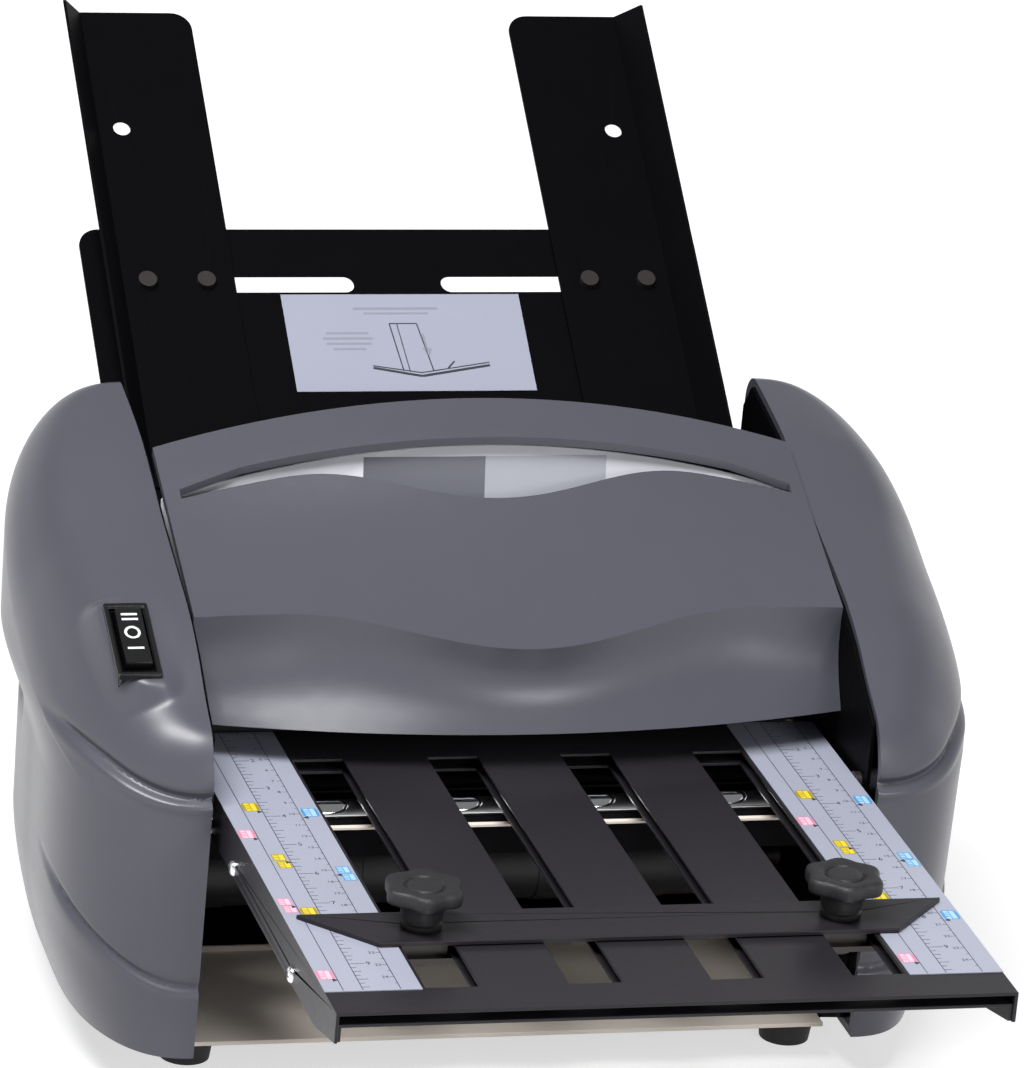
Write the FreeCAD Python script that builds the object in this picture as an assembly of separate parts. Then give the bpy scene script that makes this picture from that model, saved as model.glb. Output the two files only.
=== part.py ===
import FreeCAD, Part

import math
import os

from FreeCAD import Matrix, Vector

# Desktop paper folding machine, in millimetres. +Z is up, the user stands at -Y, and the origin is
# under the middle of the machine, on the surface that it stands on. Inside this script Y is counted
# from the first fold nip, where the rulers start, and every piece is moved to the origin when saved.

# Sizes shared by many pieces
overrun = 2.0               # how far a cutting tool passes the face that it cuts
running_gap = 0.05          # radial clearance of a shaft in its bush
slip_gap = 0.1              # clearance between faces that lie beside each other
seat_gap = 0.3              # clearance between a moving piece and what it lies on
sheet = 1.2                 # folded sheet steel of the fold plates, the tray and the guides
shaft_radius = 4.0
screw_radius = 2.0
screw_head_radius = 3.6
screw_head_height = 2.4
screw_depth = 9.0

# Inner walls and base
frame_inner_half = 123.9    # from the middle plane to a side frame's inner face
frame_sheet = 1.5
frame_outer_half = frame_inner_half + frame_sheet
frame_flange = 14.0
frame_flange_sheet = 1.2
frame_front = 84.0
frame_front_rise = 12.0
frame_rear = 103.0
frame_drop = 2.5            # the frame's top edge lies this far under the side cover's rim
foot_height = 12.0
foot_top_radius = 11.0
foot_bottom_radius = 9.4
foot_inset = 7.4             # a foot's middle lies this far inside the frame's inner face
foot_half_span = frame_inner_half - foot_inset
foot_front = 44.5
foot_rear = 84.0
base_sheet = 1.5
base_front = 58.0
base_rear = 103.0
base_top = foot_height + base_sheet
floor_top = 16.0
floor_sheet = 1.2
floor_side_gap = 0.5
floor_half = frame_inner_half - floor_side_gap
floor_front = 68.0
floor_rear = 12.0
floor_rear_lip = 2.2
floor_front_lip = 1.7

# Side covers
cover_wall = 3.0
cover_reach = 52.6          # from the cover's inner edge to its widest place
cover_front = 94.0
cover_rear = 106.0
cover_widest = 10.0         # behind the first nip
cover_bottom = 22.0
nose_height = 138.0         # the top edge at the front
crest_height = 214.0        # the top edge at the rear
outline_power = 0.8         # 1 is an ellipse in plan, and less is squarer
outline_rear_power = 0.72
top_edge_shares = [(0.0, 0.0), (0.05, 0.105), (0.115, 0.204), (0.205, 0.362), (0.29, 0.471),
                   (0.385, 0.553), (0.5425, 0.684), (0.67, 0.816), (0.77, 0.901), (0.945, 0.991), (1.0, 1.0)]
roll_front_share = 0.68     # the rounding between top and side in the front half takes this share of the width
roll_front_drop = 34.0      # and this height
roll_rear_share = 0.42      # the same in the rear half
roll_rear_drop = 26.0
roll_end = 11.0             # the rounding's length at the inner edge, front and rear
roll_end_drop = 12.0
behind_fade = 1.9           # how quickly the front half's form turns into the rear half's
behind_start_share = 0.16   # and how far ahead of the widest place
wall_draft = 3.0            # the wall leans in by this from its shoulder to its foot
top_crown_drop = 13.0       # the top falls this much towards the outside
tuck_depth = 10.5           # the foot of the wall draws in, in the front half
tuck_top = 66.0
tuck_rear_depth = 6.5       # and in the rear half
tuck_rear_top = 58.0
tuck_power = 1.5
waist_depth = 9.0           # the rear half of the side is set in below the hand grip
waist_top = 138.0
waist_fade = 29.0
wall_steps = 12
roll_steps = 6
crown_steps = 4
cover_stations = 26
boss_radius = 4.5
boss_places = [(-72.0, 44.0), (-76.0, 118.0), (96.0, 80.0), (-20.0, 158.0)]

# Top cover
top_side_gap = 0.2
top_half = frame_inner_half - top_side_gap
top_wall = 3.0
top_rear = 45.0
top_below_crest = 7.5
top_rear_height = crest_height - top_below_crest
top_slope = 0.4167          # the side edges fall by this much for each millimetre to the front
crease_front = 38.0
crease_bump = 18.0
crease_bump_share = 0.7276
apron_bottom = 134.5
apron_front_sides = 48.0
apron_front_middle = 65.0
apron_hollow_share = 0.12
apron_shares = [-0.3, 0.0, 0.25, 0.5, 0.75, 1.0, 1.2]
crown_places = [(-80.0, 0.0), (-58.0, 0.0), (-40.0, 1.0), (-15.0, 5.0), (5.0, 10.5), (15.0, 15.5),
                (25.0, 19.0), (42.0, 18.7), (60.0, 18.0)]
top_stations = 24
top_rows = 14
slot_end_margin = 5.7
slot_half = top_half - slot_end_margin
slot_rear = 25.0
slot_front_sides = 17.5
slot_front_dip = 12.5
slot_dip_share = 0.678
slot_turn_share = 0.8       # the rear edge is straight over this share of the width
ramp_sheet = 1.5
ramp_foot_y = 17.0
ramp_foot_drop = 54.5
ramp_foot_z = top_rear_height - ramp_foot_drop
ramp_lean_angle = 11.5      # degrees from upright
ramp_side_gap = 0.3
ramp_half = frame_inner_half - ramp_side_gap
ramp_label_half = 47.0
ramp_label_height = 30.0
label_thickness = 0.2

# Feed tray, drawn flat: s runs up the slope from the guide screws, n is square to the sheet
tray_slope_angle = 35.0
tray_anchor_y = 170.3
tray_anchor_z = 228.0
tray_overhang = 0.7          # the tray's upper part reaches over the frames' edges
tray_half = frame_inner_half + tray_overhang
tray_side_gap = 0.1
tray_lower_half = frame_inner_half - tray_side_gap
tray_top_s = 26.4
tray_shoulder_s = -58.0
tray_bottom_s = -172.0
tray_corner = 8.0
tray_slot_inner = 17.5
tray_slot_end_margin = 15.6
tray_slot_outer = tray_half - tray_slot_end_margin
tray_slot_half = 4.0
tray_ear_s = (-140.0, -84.0)
tray_ear_depth = 16.0
tray_ear_screw_inset = 14.0
guide_side_room = 13.4
guide_outer = tray_half - guide_side_room   # where the side is bent up
guide_width = 45.7
guide_inner = guide_outer - guide_width
guide_flare = 7.2           # the bent side leans outwards by this
guide_flange = 12.5
guide_flange_short = 4.0    # its upper end is cut back by this
guide_bottom_s = -96.0
guide_top_s = 132.0
guide_corner = 8.0
guide_hole_s = 74.6
guide_hole_inset = 10.6
guide_hole_x = guide_outer - guide_hole_inset
guide_hole_radius = 3.5
guide_screw_inset = 33.9     # the inner screw, and the outer one lies in line with the hole
guide_screw_xs = (guide_outer - guide_screw_inset, guide_hole_x)
guide_sleeve_radius = 3.4
guide_washer_radius = 6.0
guide_travel = 52.0
tray_label_half = 48.0
tray_label_s = (-51.3, -5.2)
pad_s = -133.0
pad_half_width = 16.0
pad_half_length = 11.0
pad_rise = 0.9
pad_thickness = 3.0
retard_block_height = 12.0
retard_block_margin = 5.0

# Fold rollers, top to bottom, and the feed tyres
roller_radius = 15.0
roller_gap = 0.4
roller_end_room = 11.9
roller_half = frame_inner_half - roller_end_room
roller_pitch = 2 * roller_radius + roller_gap
top_roller_y = -2.0
top_roller_z = 139.0
roller_lean_angles = (23.2, -14.5, 11.5)   # each next axis lies under the last, turned to the rear by this
band_depth = 0.5
band_count = 6
tyre_radius = 18.0
tyre_width = 30.0
tyre_middle = 32.0
tyre_gap = 0.5
bush_radius = 6.0
bush_flange_radius = 8.0
bush_flange = 1.5

# Gears outside the right frame, belt drive outside the gears
gear_teeth = 19
gear_module = roller_pitch / gear_teeth
gear_clearance = 3.2
gear_inside = frame_outer_half + gear_clearance
gear_width = 6.0
gear_backlash = 0.3
addendum_share = 0.9
dedendum_share = 1.25
pressure_angle = 20.0
idler_offset_side = 1.0
pulley_clearance = 2.6
pulley_inside = gear_inside + gear_width + pulley_clearance
pulley_width = 7.0
pulley_rim = 1.2
driven_pulley_radius = 18.0
motor_pulley_radius = 9.0
belt_thickness = 1.8
motor_y = 66.0
motor_z = 42.0
motor_radius = 26.0
motor_length = 88.0
motor_shaft_radius = 3.0
motor_bore_depth = 30.0
motor_nose_radius = 9.0

# First fold plate
plate_top = 120.0
plate_side_room = 2.55
plate_half = frame_inner_half - plate_side_room
plate_front = 267.5
plate_rear = 22.0
paper_gap = 3.6
plate_flange_bottom = 102.5
plate_chamfer_y = 240.0
plate_chamfer_z = 108.8
plate_step_y = 80.0
rest_top = 109.6
slot_pitch_share = 0.41862    # of the plate's half width
slot_pitch = plate_half * slot_pitch_share
slot_width = 19.0
slot_front = 249.0
slot_back = 50.0
strip_width = 34.2
strip_front = 250.5
strip_rear = 24.0
strip_thickness = 0.3
flange_screw_ys = (115.3, 206.2)
flange_screw_z = 106.6
flange_screw_radius = 1.5
flange_head_radius = 3.0
flange_head_height = 1.8
rest_rod_radius = 5.0
rest_rod_y = 64.0
mouth_rod_y = 36.0

# Stop bar and its clamps
bar_rear = 190.8
bar_width = 25.7
bar_end_room = 3.75
bar_rear_half = plate_half - bar_end_room
bar_taper = 23.7
bar_front_half = bar_rear_half - bar_taper
bar_thickness = 1.8
bar_travel_front = 36.0
bar_travel_rear = 115.0
finger_width = 15.0
finger_below = 3.0
clamp_stud_radius = 2.5
clamp_plate_width = 27.0
clamp_plate_length = 18.0
clamp_plate_thickness = 2.0
clamp_block_width = 17.0
clamp_block_length = 12.0
clamp_head_radius = 5.0
clamp_head_height = 2.6
knob_height = 16.3
knob_head_height = 6.2
knob_neck_radius = 7.9
knob_neck_foot_radius = 7.2
knob_lobe_reach = 14.6
knob_lobe_radius = 4.4
knob_lobes = 6
knob_core_radius = 11.4
knob_inset_radius = 7.0
knob_inset_depth = 0.6
knob_bore_depth = 12.0

# Switch on the left cover
switch_inset = 23.2
switch_x = frame_outer_half + switch_inset
switch_y = -49.0
switch_z = 167.0
switch_tilt_angle = 24.0
bezel_width = 16.6
bezel_length = 36.0
bezel_height = 2.6
bezel_sink = 0.8
bezel_rim = 1.9
switch_body_margin = 1.6
switch_body_depth = 17.0
rocker_width = 9.6
rocker_length = 27.0
rocker_side_gap = 0.4
rocker_end_gap = 1.2
rocker_rise = 3.6
rocker_pivot_depth = 3.0
rocker_travel = 8.0
rocker_well_depth = 10.0
rocker_dip = 0.8
rocker_pin_radius = 1.4

# Second fold plate, behind the second nip: s runs along it, n is square to it
second_side_room = 11.9
second_half = frame_inner_half - second_side_room
second_start = 20.0
second_end = 130.0
second_gap = 3.6
second_slot_x = 40.0
second_slot_width = 12.0
second_slot_s = (54.0, 124.0)
second_stop_s = 93.0
second_stop_length = 12.0
second_stop_thickness = 2.0
second_stop_half = 60.0
second_finger_width = 9.0
second_stop_travel = (33.0, 27.0)
second_rod_places = (45.0, 92.0)

# Cross channels under the first fold plate
front_channel_y = 77.0
front_channel_top = 104.0
channel_height = 11.0
channel_depth = 8.0
channel_sheet = 1.2
lip_depth = 2.6
lip_thickness = 0.8
inner_channel_y = 45.0
inner_channel_top = 101.0

# Rear cover, mains inlet, control board
rear_cover_sheet = 2.5
rear_cover_top = 59.0
inlet_side_room = 39.9
inlet_x = inlet_side_room - frame_inner_half
inlet_z = 36.0
inlet_width = 28.0
inlet_height = 20.0
inlet_rim = 3.0
inlet_rim_thickness = 2.0
inlet_depth = 24.0
inlet_cavity_width = 24.0
inlet_cavity_height = 16.0
inlet_cavity_depth = 17.0
inlet_pin_width = 2.0
inlet_pin_height = 4.0
inlet_pin_length = 10.5
inlet_pin_pitch = 7.0
inlet_pin_raise = 2.0
board_y = (22.0, 84.0)
board_z = (86.0, 132.0)
board_thickness = 1.6
board_standoff = 6.0
board_standoff_radius = 3.0
board_inset = 5.0
capacitor_radius = 7.0
capacitor_height = 18.0
heatsink_size = (10.0, 22.0, 26.0)

# Where the origin lies: under the middle of the whole length
tray_rise = math.radians(tray_slope_angle)
rear_reach = tray_anchor_y + guide_top_s * math.cos(tray_rise) + sheet * math.sin(tray_rise)
origin_shift = (plate_front - rear_reach) / 2


def box(x, y, z):
    """A block between two limits on each axis."""
    return Part.makeBox(x[1] - x[0], y[1] - y[0], z[1] - z[0], Vector(x[0], y[0], z[0]))


def round_bar_x(radius, x, y, z):
    """A round bar along X between two limits."""
    return Part.makeCylinder(radius, x[1] - x[0], Vector(x[0], y, z), Vector(1, 0, 0))


def round_bar_z(radius, x, y, z):
    """A round bar along Z between two limits."""
    return Part.makeCylinder(radius, z[1] - z[0], Vector(x, y, z[0]), Vector(0, 0, 1))


def prism_x(points, x):
    """A polygon of (y, z) points, drawn out along X between two limits."""
    corners = [Vector(x[0], y, z) for y, z in points]
    wire = Part.makePolygon(corners + corners[:1])
    return Part.Face(wire).extrude(Vector(x[1] - x[0], 0, 0))


def prism_z(points, z):
    """A polygon of (x, y) points, drawn out along Z between two limits."""
    corners = [Vector(x, y, z[0]) for x, y in points]
    wire = Part.makePolygon(corners + corners[:1])
    return Part.Face(wire).extrude(Vector(0, 0, z[1] - z[0]))


def mirrored(shape):
    """The same shape on the other side of the middle plane."""
    return shape.mirror(Vector(0, 0, 0), Vector(1, 0, 0))


def joined(shapes):
    """One solid of several that touch or overlap."""
    first = shapes[0]
    return first.multiFuse(shapes[1:]).removeSplitter() if len(shapes) > 1 else first


def save(node, *shapes):
    """Write the solids of one node, moved to the machine's origin."""
    solids = [solid for shape in shapes for solid in shape.Solids]
    whole = Part.makeCompound(solids) if len(solids) > 1 else solids[0]
    whole = whole.copy()
    whole.translate(Vector(0, origin_shift, 0))
    whole.exportStep(os.path.join("parts", node + ".step"))
    print(node, len(solids), "solids, volume", round(sum(solid.Volume for solid in solids)))


def on_slope(shape, angle, y, z):
    """Tip a shape drawn flat about X by an angle in degrees, then put its origin at (y, z)."""
    tipped = shape.copy()
    tipped.rotate(Vector(0, 0, 0), Vector(1, 0, 0), angle)
    tipped.translate(Vector(0, y, z))
    return tipped


def smooth_step(value):
    """0 below 0, 1 above 1, and an even ease between."""
    value = max(0.0, min(1.0, value))
    return value * value * (3 - 2 * value)


def through_points(places, at):
    """A smooth curve through (place, height) pairs, read at one place."""
    count = len(places)
    if at <= places[0][0]:
        return places[0][1]
    if at >= places[-1][0]:
        return places[-1][1]
    slopes = []
    for index in range(count):
        low = max(0, index - 1)
        high = min(count - 1, index + 1)
        slopes.append((places[high][1] - places[low][1]) / (places[high][0] - places[low][0]))
    for index in range(count - 1):
        start, end = places[index], places[index + 1]
        if start[0] <= at <= end[0]:
            length = end[0] - start[0]
            share = (at - start[0]) / length
            rise = end[1] - start[1]
            ease = share * share * (3 - 2 * share)
            enter = share * (1 - share) * (1 - share) * length * slopes[index]
            leave = share * share * (1 - share) * length * slopes[index + 1]
            return start[1] + rise * ease + enter - leave
    return places[-1][1]


def spline(points):
    """One smooth edge through points."""
    curve = Part.BSplineCurve()
    curve.interpolate(points)
    return curve.toShape()


def grid_face(rows):
    """A smooth face through a grid of points."""
    surface = Part.BSplineSurface()
    surface.interpolate(rows)
    return surface.toShape()


# Side covers

cover_inner_half = frame_outer_half
cover_length = cover_front + cover_rear
cover_rise = crest_height - nose_height
top_edge = [(-cover_front + along * cover_length, nose_height + up * cover_rise)
            for along, up in top_edge_shares]


def top_edge_height(y):
    """Height of a side cover's top at its inner edge."""
    return through_points(top_edge, y)


def outline_place(angle, inset, side_inset, base, reach):
    """A place on the cover's outline in plan. Angle 0 is the front inner corner, pi the rear one."""
    sine, cosine = math.sin(angle), math.cos(angle)
    power = outline_power + (outline_rear_power - outline_power) * smooth_step((1 - cosine) / 2)
    out = max(0.0, sine) ** power
    x = base + (reach - inset - side_inset) * out
    length = cover_front + cover_widest if cosine > 0 else cover_rear - cover_widest
    y = cover_widest - math.copysign(abs(cosine) ** power, cosine) * (length - inset)
    return x, y


def cover_point(angle, step, inset, low):
    """A point of the cover's skin: steps climb the wall, round the shoulder and cross the top."""
    base = cover_inner_half
    reach = cover_reach
    cosine = math.cos(angle)
    rim_x, rim_y = outline_place(angle, inset, 0.0, base, reach)
    edge_blend = math.sin(angle) ** outline_power if 0 < angle < math.pi else 0.0
    behind = smooth_step((1 - cosine) / 2 * behind_fade - (behind_fade - 1) / 2 + behind_start_share)
    roll_share = roll_front_share + (roll_rear_share - roll_front_share) * behind
    side_drop = roll_front_drop + (roll_rear_drop - roll_front_drop) * behind
    drop = roll_end_drop + (side_drop - roll_end_drop) * edge_blend
    crown = top_crown_drop * ((rim_x - base) / reach) ** 2
    shoulder = top_edge_height(rim_y) - inset - crown - drop
    if step <= wall_steps:
        z = low + (shoulder - low) * step / wall_steps
        start = tuck_top + (tuck_rear_top - tuck_top) * behind
        depth = tuck_depth + (tuck_rear_depth - tuck_depth) * behind
        tuck = depth * max(0.0, (start - z) / (start - cover_bottom)) ** tuck_power
        waist = waist_depth * behind * smooth_step((waist_top - z) / waist_fade)
        draft = wall_draft * (shoulder - z) / (shoulder - low)
        x, y = outline_place(angle, inset, tuck + waist + draft, base, reach)
        return Vector(x, y, z)
    end_length = cover_front + cover_widest if cosine > 0 else cover_rear - cover_widest
    end_y = cover_widest - cosine * (end_length - inset - roll_end / roll_share)
    if step <= wall_steps + roll_steps:
        turn = math.pi / 2 * (step - wall_steps) / roll_steps
        share = roll_share * (1 - math.cos(turn))
        fall = drop * (1 - math.sin(turn))
    else:
        past = (step - wall_steps - roll_steps) / crown_steps
        share = roll_share + (1 - roll_share) * past
        fall = 0.0
    x = rim_x + (base - rim_x) * share
    y = rim_y + (end_y - rim_y) * share
    crown = top_crown_drop * ((x - base) / reach) ** 2
    return Vector(x, y, top_edge_height(y) - inset - crown - fall)


def cover_skin(side, inset, low):
    """A cover's skin, set in by an inset, with its floor and its inner outline as flat faces."""
    steps = wall_steps + roll_steps + crown_steps + 1
    rows = []
    for station in range(cover_stations + 1):
        angle = math.pi * station / cover_stations
        rows.append([cover_point(angle, step, inset, low) for step in range(steps)])
    for point in rows[0] + rows[-1] + [row[-1] for row in rows]:
        point.x = cover_inner_half
    for row in rows:
        for point in row:
            point.x = side * point.x
    skin = grid_face(rows)
    low_edges, inner_edges = [], []
    for edge in skin.Edges:
        flat = all(abs(vertex.Z - low) < slip_gap for vertex in edge.Vertexes)
        (low_edges if flat else inner_edges).append(edge)
    straight = Part.LineSegment(rows[0][0], rows[-1][0]).toShape()
    low_plane = Part.Plane(rows[0][0], Vector(0, 0, 1))
    inner_plane = Part.Plane(rows[0][0], Vector(1, 0, 0))
    low_face = Part.Face(low_plane, [Part.Wire(Part.__sortEdges__(low_edges + [straight]))])
    inner_face = Part.Face(inner_plane, [Part.Wire(Part.__sortEdges__(inner_edges + [straight]))])
    return skin, low_face, inner_face


def closed_solid(faces):
    """A solid bounded by faces that meet edge to edge."""
    shell = Part.makeShell(faces)
    shell.sewShape()
    solid = Part.makeSolid(shell)
    if solid.Volume < 0:
        solid.reverse()
    return solid


def side_cover(side):
    """One side's cover and the space inside it."""
    skin, low_face, outer_rim = cover_skin(side, 0.0, cover_bottom)
    lining, floor_face, inner_rim = cover_skin(side, cover_wall, cover_bottom + cover_wall)
    rim = outer_rim.cut(inner_rim).Faces[0]
    cover = closed_solid([skin, low_face, lining, floor_face, rim])
    hollow = closed_solid([lining, floor_face, inner_rim])
    return cover, hollow


def cover_posts(hollow):
    """Posts inside a right-hand cover, from the side frame to the cover's wall, drilled for screws."""
    far = cover_inner_half + cover_reach + overrun
    posts = []
    for y, z in boss_places:
        post = round_bar_x(boss_radius, (cover_inner_half, far), y, z).common(hollow)
        hole = round_bar_x(screw_radius, (cover_inner_half - overrun, cover_inner_half + screw_depth), y, z)
        posts.append(post.cut(hole))
    return posts


def switch_place(shape):
    """Put a shape drawn flat about the switch's middle onto the left cover's top."""
    placed = on_slope(shape, switch_tilt_angle, switch_y, switch_z)
    placed.translate(Vector(-switch_x, 0, 0))
    return placed


bezel_half_width = bezel_width / 2
bezel_half_length = bezel_length / 2
body_half_width = bezel_half_width - switch_body_margin
body_half_length = bezel_half_length - switch_body_margin
well_half_width = rocker_width / 2 + rocker_side_gap
well_half_length = rocker_length / 2 + rocker_end_gap


def make_side_covers():
    right, hollow = side_cover(1)
    save("right_side_cover", right)
    posts = cover_posts(hollow)
    save("cover_posts", *(posts + [mirrored(post) for post in posts]))
    left = side_cover(-1)[0]
    seat = box((-bezel_half_width, bezel_half_width), (-bezel_half_length, bezel_half_length),
               (-bezel_sink, bezel_height + cover_wall + overrun))
    window = box((-body_half_width, body_half_width), (-body_half_length, body_half_length),
                 (-switch_body_depth - overrun, overrun))
    save("left_side_cover", left.cut(switch_place(joined([seat, window]))))


def make_switch():
    """Bezel with its body below the cover, and the rocker on its pivot pin."""
    frame = box((-bezel_half_width, bezel_half_width), (-bezel_half_length, bezel_half_length),
                (-bezel_sink, bezel_height - bezel_sink))
    body = box((-body_half_width + slip_gap, body_half_width - slip_gap),
               (-body_half_length + slip_gap, body_half_length - slip_gap),
               (-switch_body_depth, -bezel_sink))
    tray_cut = box((-bezel_half_width + bezel_rim, bezel_half_width - bezel_rim),
                   (-bezel_half_length + bezel_rim, bezel_half_length - bezel_rim),
                   (bezel_height - 2 * bezel_sink, bezel_height + overrun))
    well = box((-well_half_width, well_half_width), (-well_half_length, well_half_length),
               (-rocker_well_depth, bezel_height + overrun))
    pin_hole = round_bar_x(rocker_pin_radius + running_gap, (-body_half_width, body_half_width),
                           0, -rocker_pivot_depth)
    bezel = frame.fuse(body).cut(tray_cut).cut(well).cut(pin_hole)
    save("switch_bezel", switch_place(bezel))

    half = rocker_length / 2
    low = -rocker_pivot_depth
    end_low = low + half * math.tan(math.radians(rocker_travel))
    profile = [(-half, end_low), (-half, rocker_rise), (0, rocker_rise - rocker_dip), (half, rocker_rise),
               (half, end_low), (0, low)]
    width = (-rocker_width / 2, rocker_width / 2)
    keel = round_bar_x(rocker_pivot_depth + rocker_pin_radius, width, 0, low)
    pin = round_bar_x(rocker_pin_radius, (-body_half_width + slip_gap, body_half_width - slip_gap), 0, low)
    save("rocker", switch_place(joined([prism_x(profile, width), keel, pin])))


# Top cover and the manual-feed ramp

def edge_line(y):
    """Height of the top cover along its side edges."""
    return top_rear_height - (top_rear - y) * top_slope


def top_height(x, y):
    """Height of the top cover's upper skin."""
    crown = through_points(sorted(crown_places), y)
    return edge_line(y) + crown * (1 - (x / top_half) ** 2)


def bump(x, half):
    """A single even wave, 1 in the middle and 0 from half outwards."""
    return 0.5 + 0.5 * math.cos(math.pi * x / half) if abs(x) < half else 0.0


def crease_y(x):
    return -crease_front - crease_bump * bump(x, top_half * crease_bump_share)


def apron_foot_y(x):
    return -apron_front_middle + (apron_front_middle - apron_front_sides) * (x / top_half) ** 2


def under_top(drop):
    """All that lies below the upper skin, less a drop."""
    wide = top_half + overrun
    rows = []
    for station in range(top_stations + 1):
        x = wide * (2 * station / top_stations - 1)
        row = []
        for step in range(top_rows + 1):
            y = -cover_front + (cover_front + top_rear + top_wall) * step / top_rows
            row.append(Vector(x, y, top_height(x, y) - drop))
        rows.append(row)
    return grid_face(rows).extrude(Vector(0, 0, -crest_height))


def before_apron(inset):
    """All that lies in front of the apron's face, moved back by an inset."""
    wide = top_half + overrun
    rows = []
    for station in range(top_stations + 1):
        x = wide * (2 * station / top_stations - 1)
        crease = crease_y(x)
        height = top_height(x, crease) - apron_bottom
        foot = apron_foot_y(x) - crease
        row = []
        for share in apron_shares:
            hollow = apron_hollow_share * height * math.sin(math.pi * min(max(share, 0.0), 1.0))
            row.append(Vector(x, crease + foot * share + hollow + inset, apron_bottom + height * (1 - share)))
        rows.append(row)
    return grid_face(rows).extrude(Vector(0, -crest_height, 0))


def crescent_tool():
    """The manual-feed opening in plan, drawn up through the cover."""
    stations = [slot_half * (2 * index / top_stations - 1) for index in range(top_stations + 1)]
    front = [Vector(x, slot_front_sides - slot_front_dip * bump(x, slot_half * slot_dip_share), ramp_foot_z)
             for x in stations]
    rear_y = slot_rear
    left, right = Vector(-slot_half, rear_y - top_wall, ramp_foot_z), Vector(slot_half, rear_y - top_wall, ramp_foot_z)
    turn_x = slot_half * slot_turn_share
    arch = [left, Vector(-turn_x, rear_y, ramp_foot_z), Vector(turn_x, rear_y, ramp_foot_z), right]
    edges = [spline(front), Part.LineSegment(front[-1], right).toShape(),
             Part.makePolygon(list(reversed(arch))), Part.LineSegment(left, front[0]).toShape()]
    loose = [edge for shape in edges for edge in shape.Edges]
    face = Part.Face(Part.Wire(Part.__sortEdges__(loose)))
    return face.extrude(Vector(0, 0, crest_height))


def make_top_cover():
    outer_limits = box((-top_half, top_half), (-cover_front, top_rear), (apron_bottom, 2 * crest_height))
    inner_limits = box((-top_half - overrun, top_half + overrun), (-cover_front, top_rear + overrun),
                       (apron_bottom - overrun, 2 * crest_height))
    outer = outer_limits.common(under_top(0)).cut(before_apron(0))
    inner = inner_limits.common(under_top(top_wall)).cut(before_apron(top_wall))
    save("top_cover", outer.cut(inner).cut(crescent_tool()))


def ramp_plate(front, thickness, half, bottom, height_at):
    """An upright plate with a curved top edge, leaned back on its foot."""
    count = top_stations
    top = [(half * (1 - 2 * index / count), height_at(half * (1 - 2 * index / count))) for index in range(count + 1)]
    outline = [Vector(-half, front, bottom), Vector(half, front, bottom)] + [Vector(x, front, z) for x, z in top]
    face = Part.Face(Part.makePolygon(outline + outline[:1]))
    plate = face.extrude(Vector(0, thickness, 0))
    plate.rotate(Vector(0, 0, 0), Vector(1, 0, 0), -ramp_lean_angle)
    plate.translate(Vector(0, ramp_foot_y, ramp_foot_z))
    return plate


def make_ramp():
    lean = math.radians(ramp_lean_angle)

    def to_hood(x):
        ridge = top_height(x, slot_rear) - top_wall - seat_gap - ramp_foot_z
        return ridge / math.cos(lean) - ramp_sheet

    save("manual_feed_ramp", ramp_plate(0, ramp_sheet, ramp_half, 0, to_hood))
    top = to_hood(ramp_label_half) - ramp_sheet
    label = ramp_plate(-label_thickness, label_thickness, ramp_label_half, top - ramp_label_height, lambda x: top)
    save("ramp_label", label)


# Axes of the rollers and of what they drive

def roller_axes():
    places = [(top_roller_y, top_roller_z)]
    for lean in roller_lean_angles:
        y, z = places[-1]
        turn = math.radians(lean)
        places.append((y + roller_pitch * math.sin(turn), z - roller_pitch * math.cos(turn)))
    return places


rollers = roller_axes()
feed_n = pad_rise + tyre_gap + tyre_radius
feed_axis = (tray_anchor_y + pad_s * math.cos(tray_rise) - feed_n * math.sin(tray_rise),
             tray_anchor_z + pad_s * math.sin(tray_rise) + feed_n * math.cos(tray_rise))


def idler_place():
    """The idler touches the top roller's gear and the feed gear, all of one size."""
    (y1, z1), (y2, z2) = rollers[0], feed_axis
    span = math.hypot(y2 - y1, z2 - z1)
    rise = math.sqrt(roller_pitch ** 2 - (span / 2) ** 2)
    middle = ((y1 + y2) / 2, (z1 + z2) / 2)
    return (middle[0] - (z2 - z1) / span * rise * idler_offset_side,
            middle[1] + (y2 - y1) / span * rise * idler_offset_side)


idler_axis = idler_place()
second_nip = ((rollers[1][0] + rollers[2][0]) / 2, (rollers[1][1] + rollers[2][1]) / 2)
second_lean_angle = roller_lean_angles[1]
lower_nip_rod_n = -second_gap / 2 - sheet - shaft_radius


def second_place(s, n):
    """A place given along and square to the second fold plate, as (y, z)."""
    turn = math.radians(second_lean_angle)
    return (second_nip[0] + s * math.cos(turn) - n * math.sin(turn),
            second_nip[1] + s * math.sin(turn) + n * math.cos(turn))


rod_places = [(-mouth_rod_y, rest_top - shaft_radius),
              second_place(second_rod_places[0], lower_nip_rod_n),
              second_place(second_rod_places[1], lower_nip_rod_n)]
rest_rod = (-rest_rod_y, rest_top - rest_rod_radius)


# Side frames, base, floor, feet

def frame_outline():
    points = [(-base_front, base_top), (-frame_front, base_top + frame_front_rise),
              (-frame_front, top_edge_height(-frame_front) - frame_drop)]
    for y, z in top_edge[2:-1]:
        points.append((y, z - frame_drop))
    points.append((frame_rear, crest_height - frame_drop - roll_end))
    points.append((frame_rear, base_top))
    return points


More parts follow.
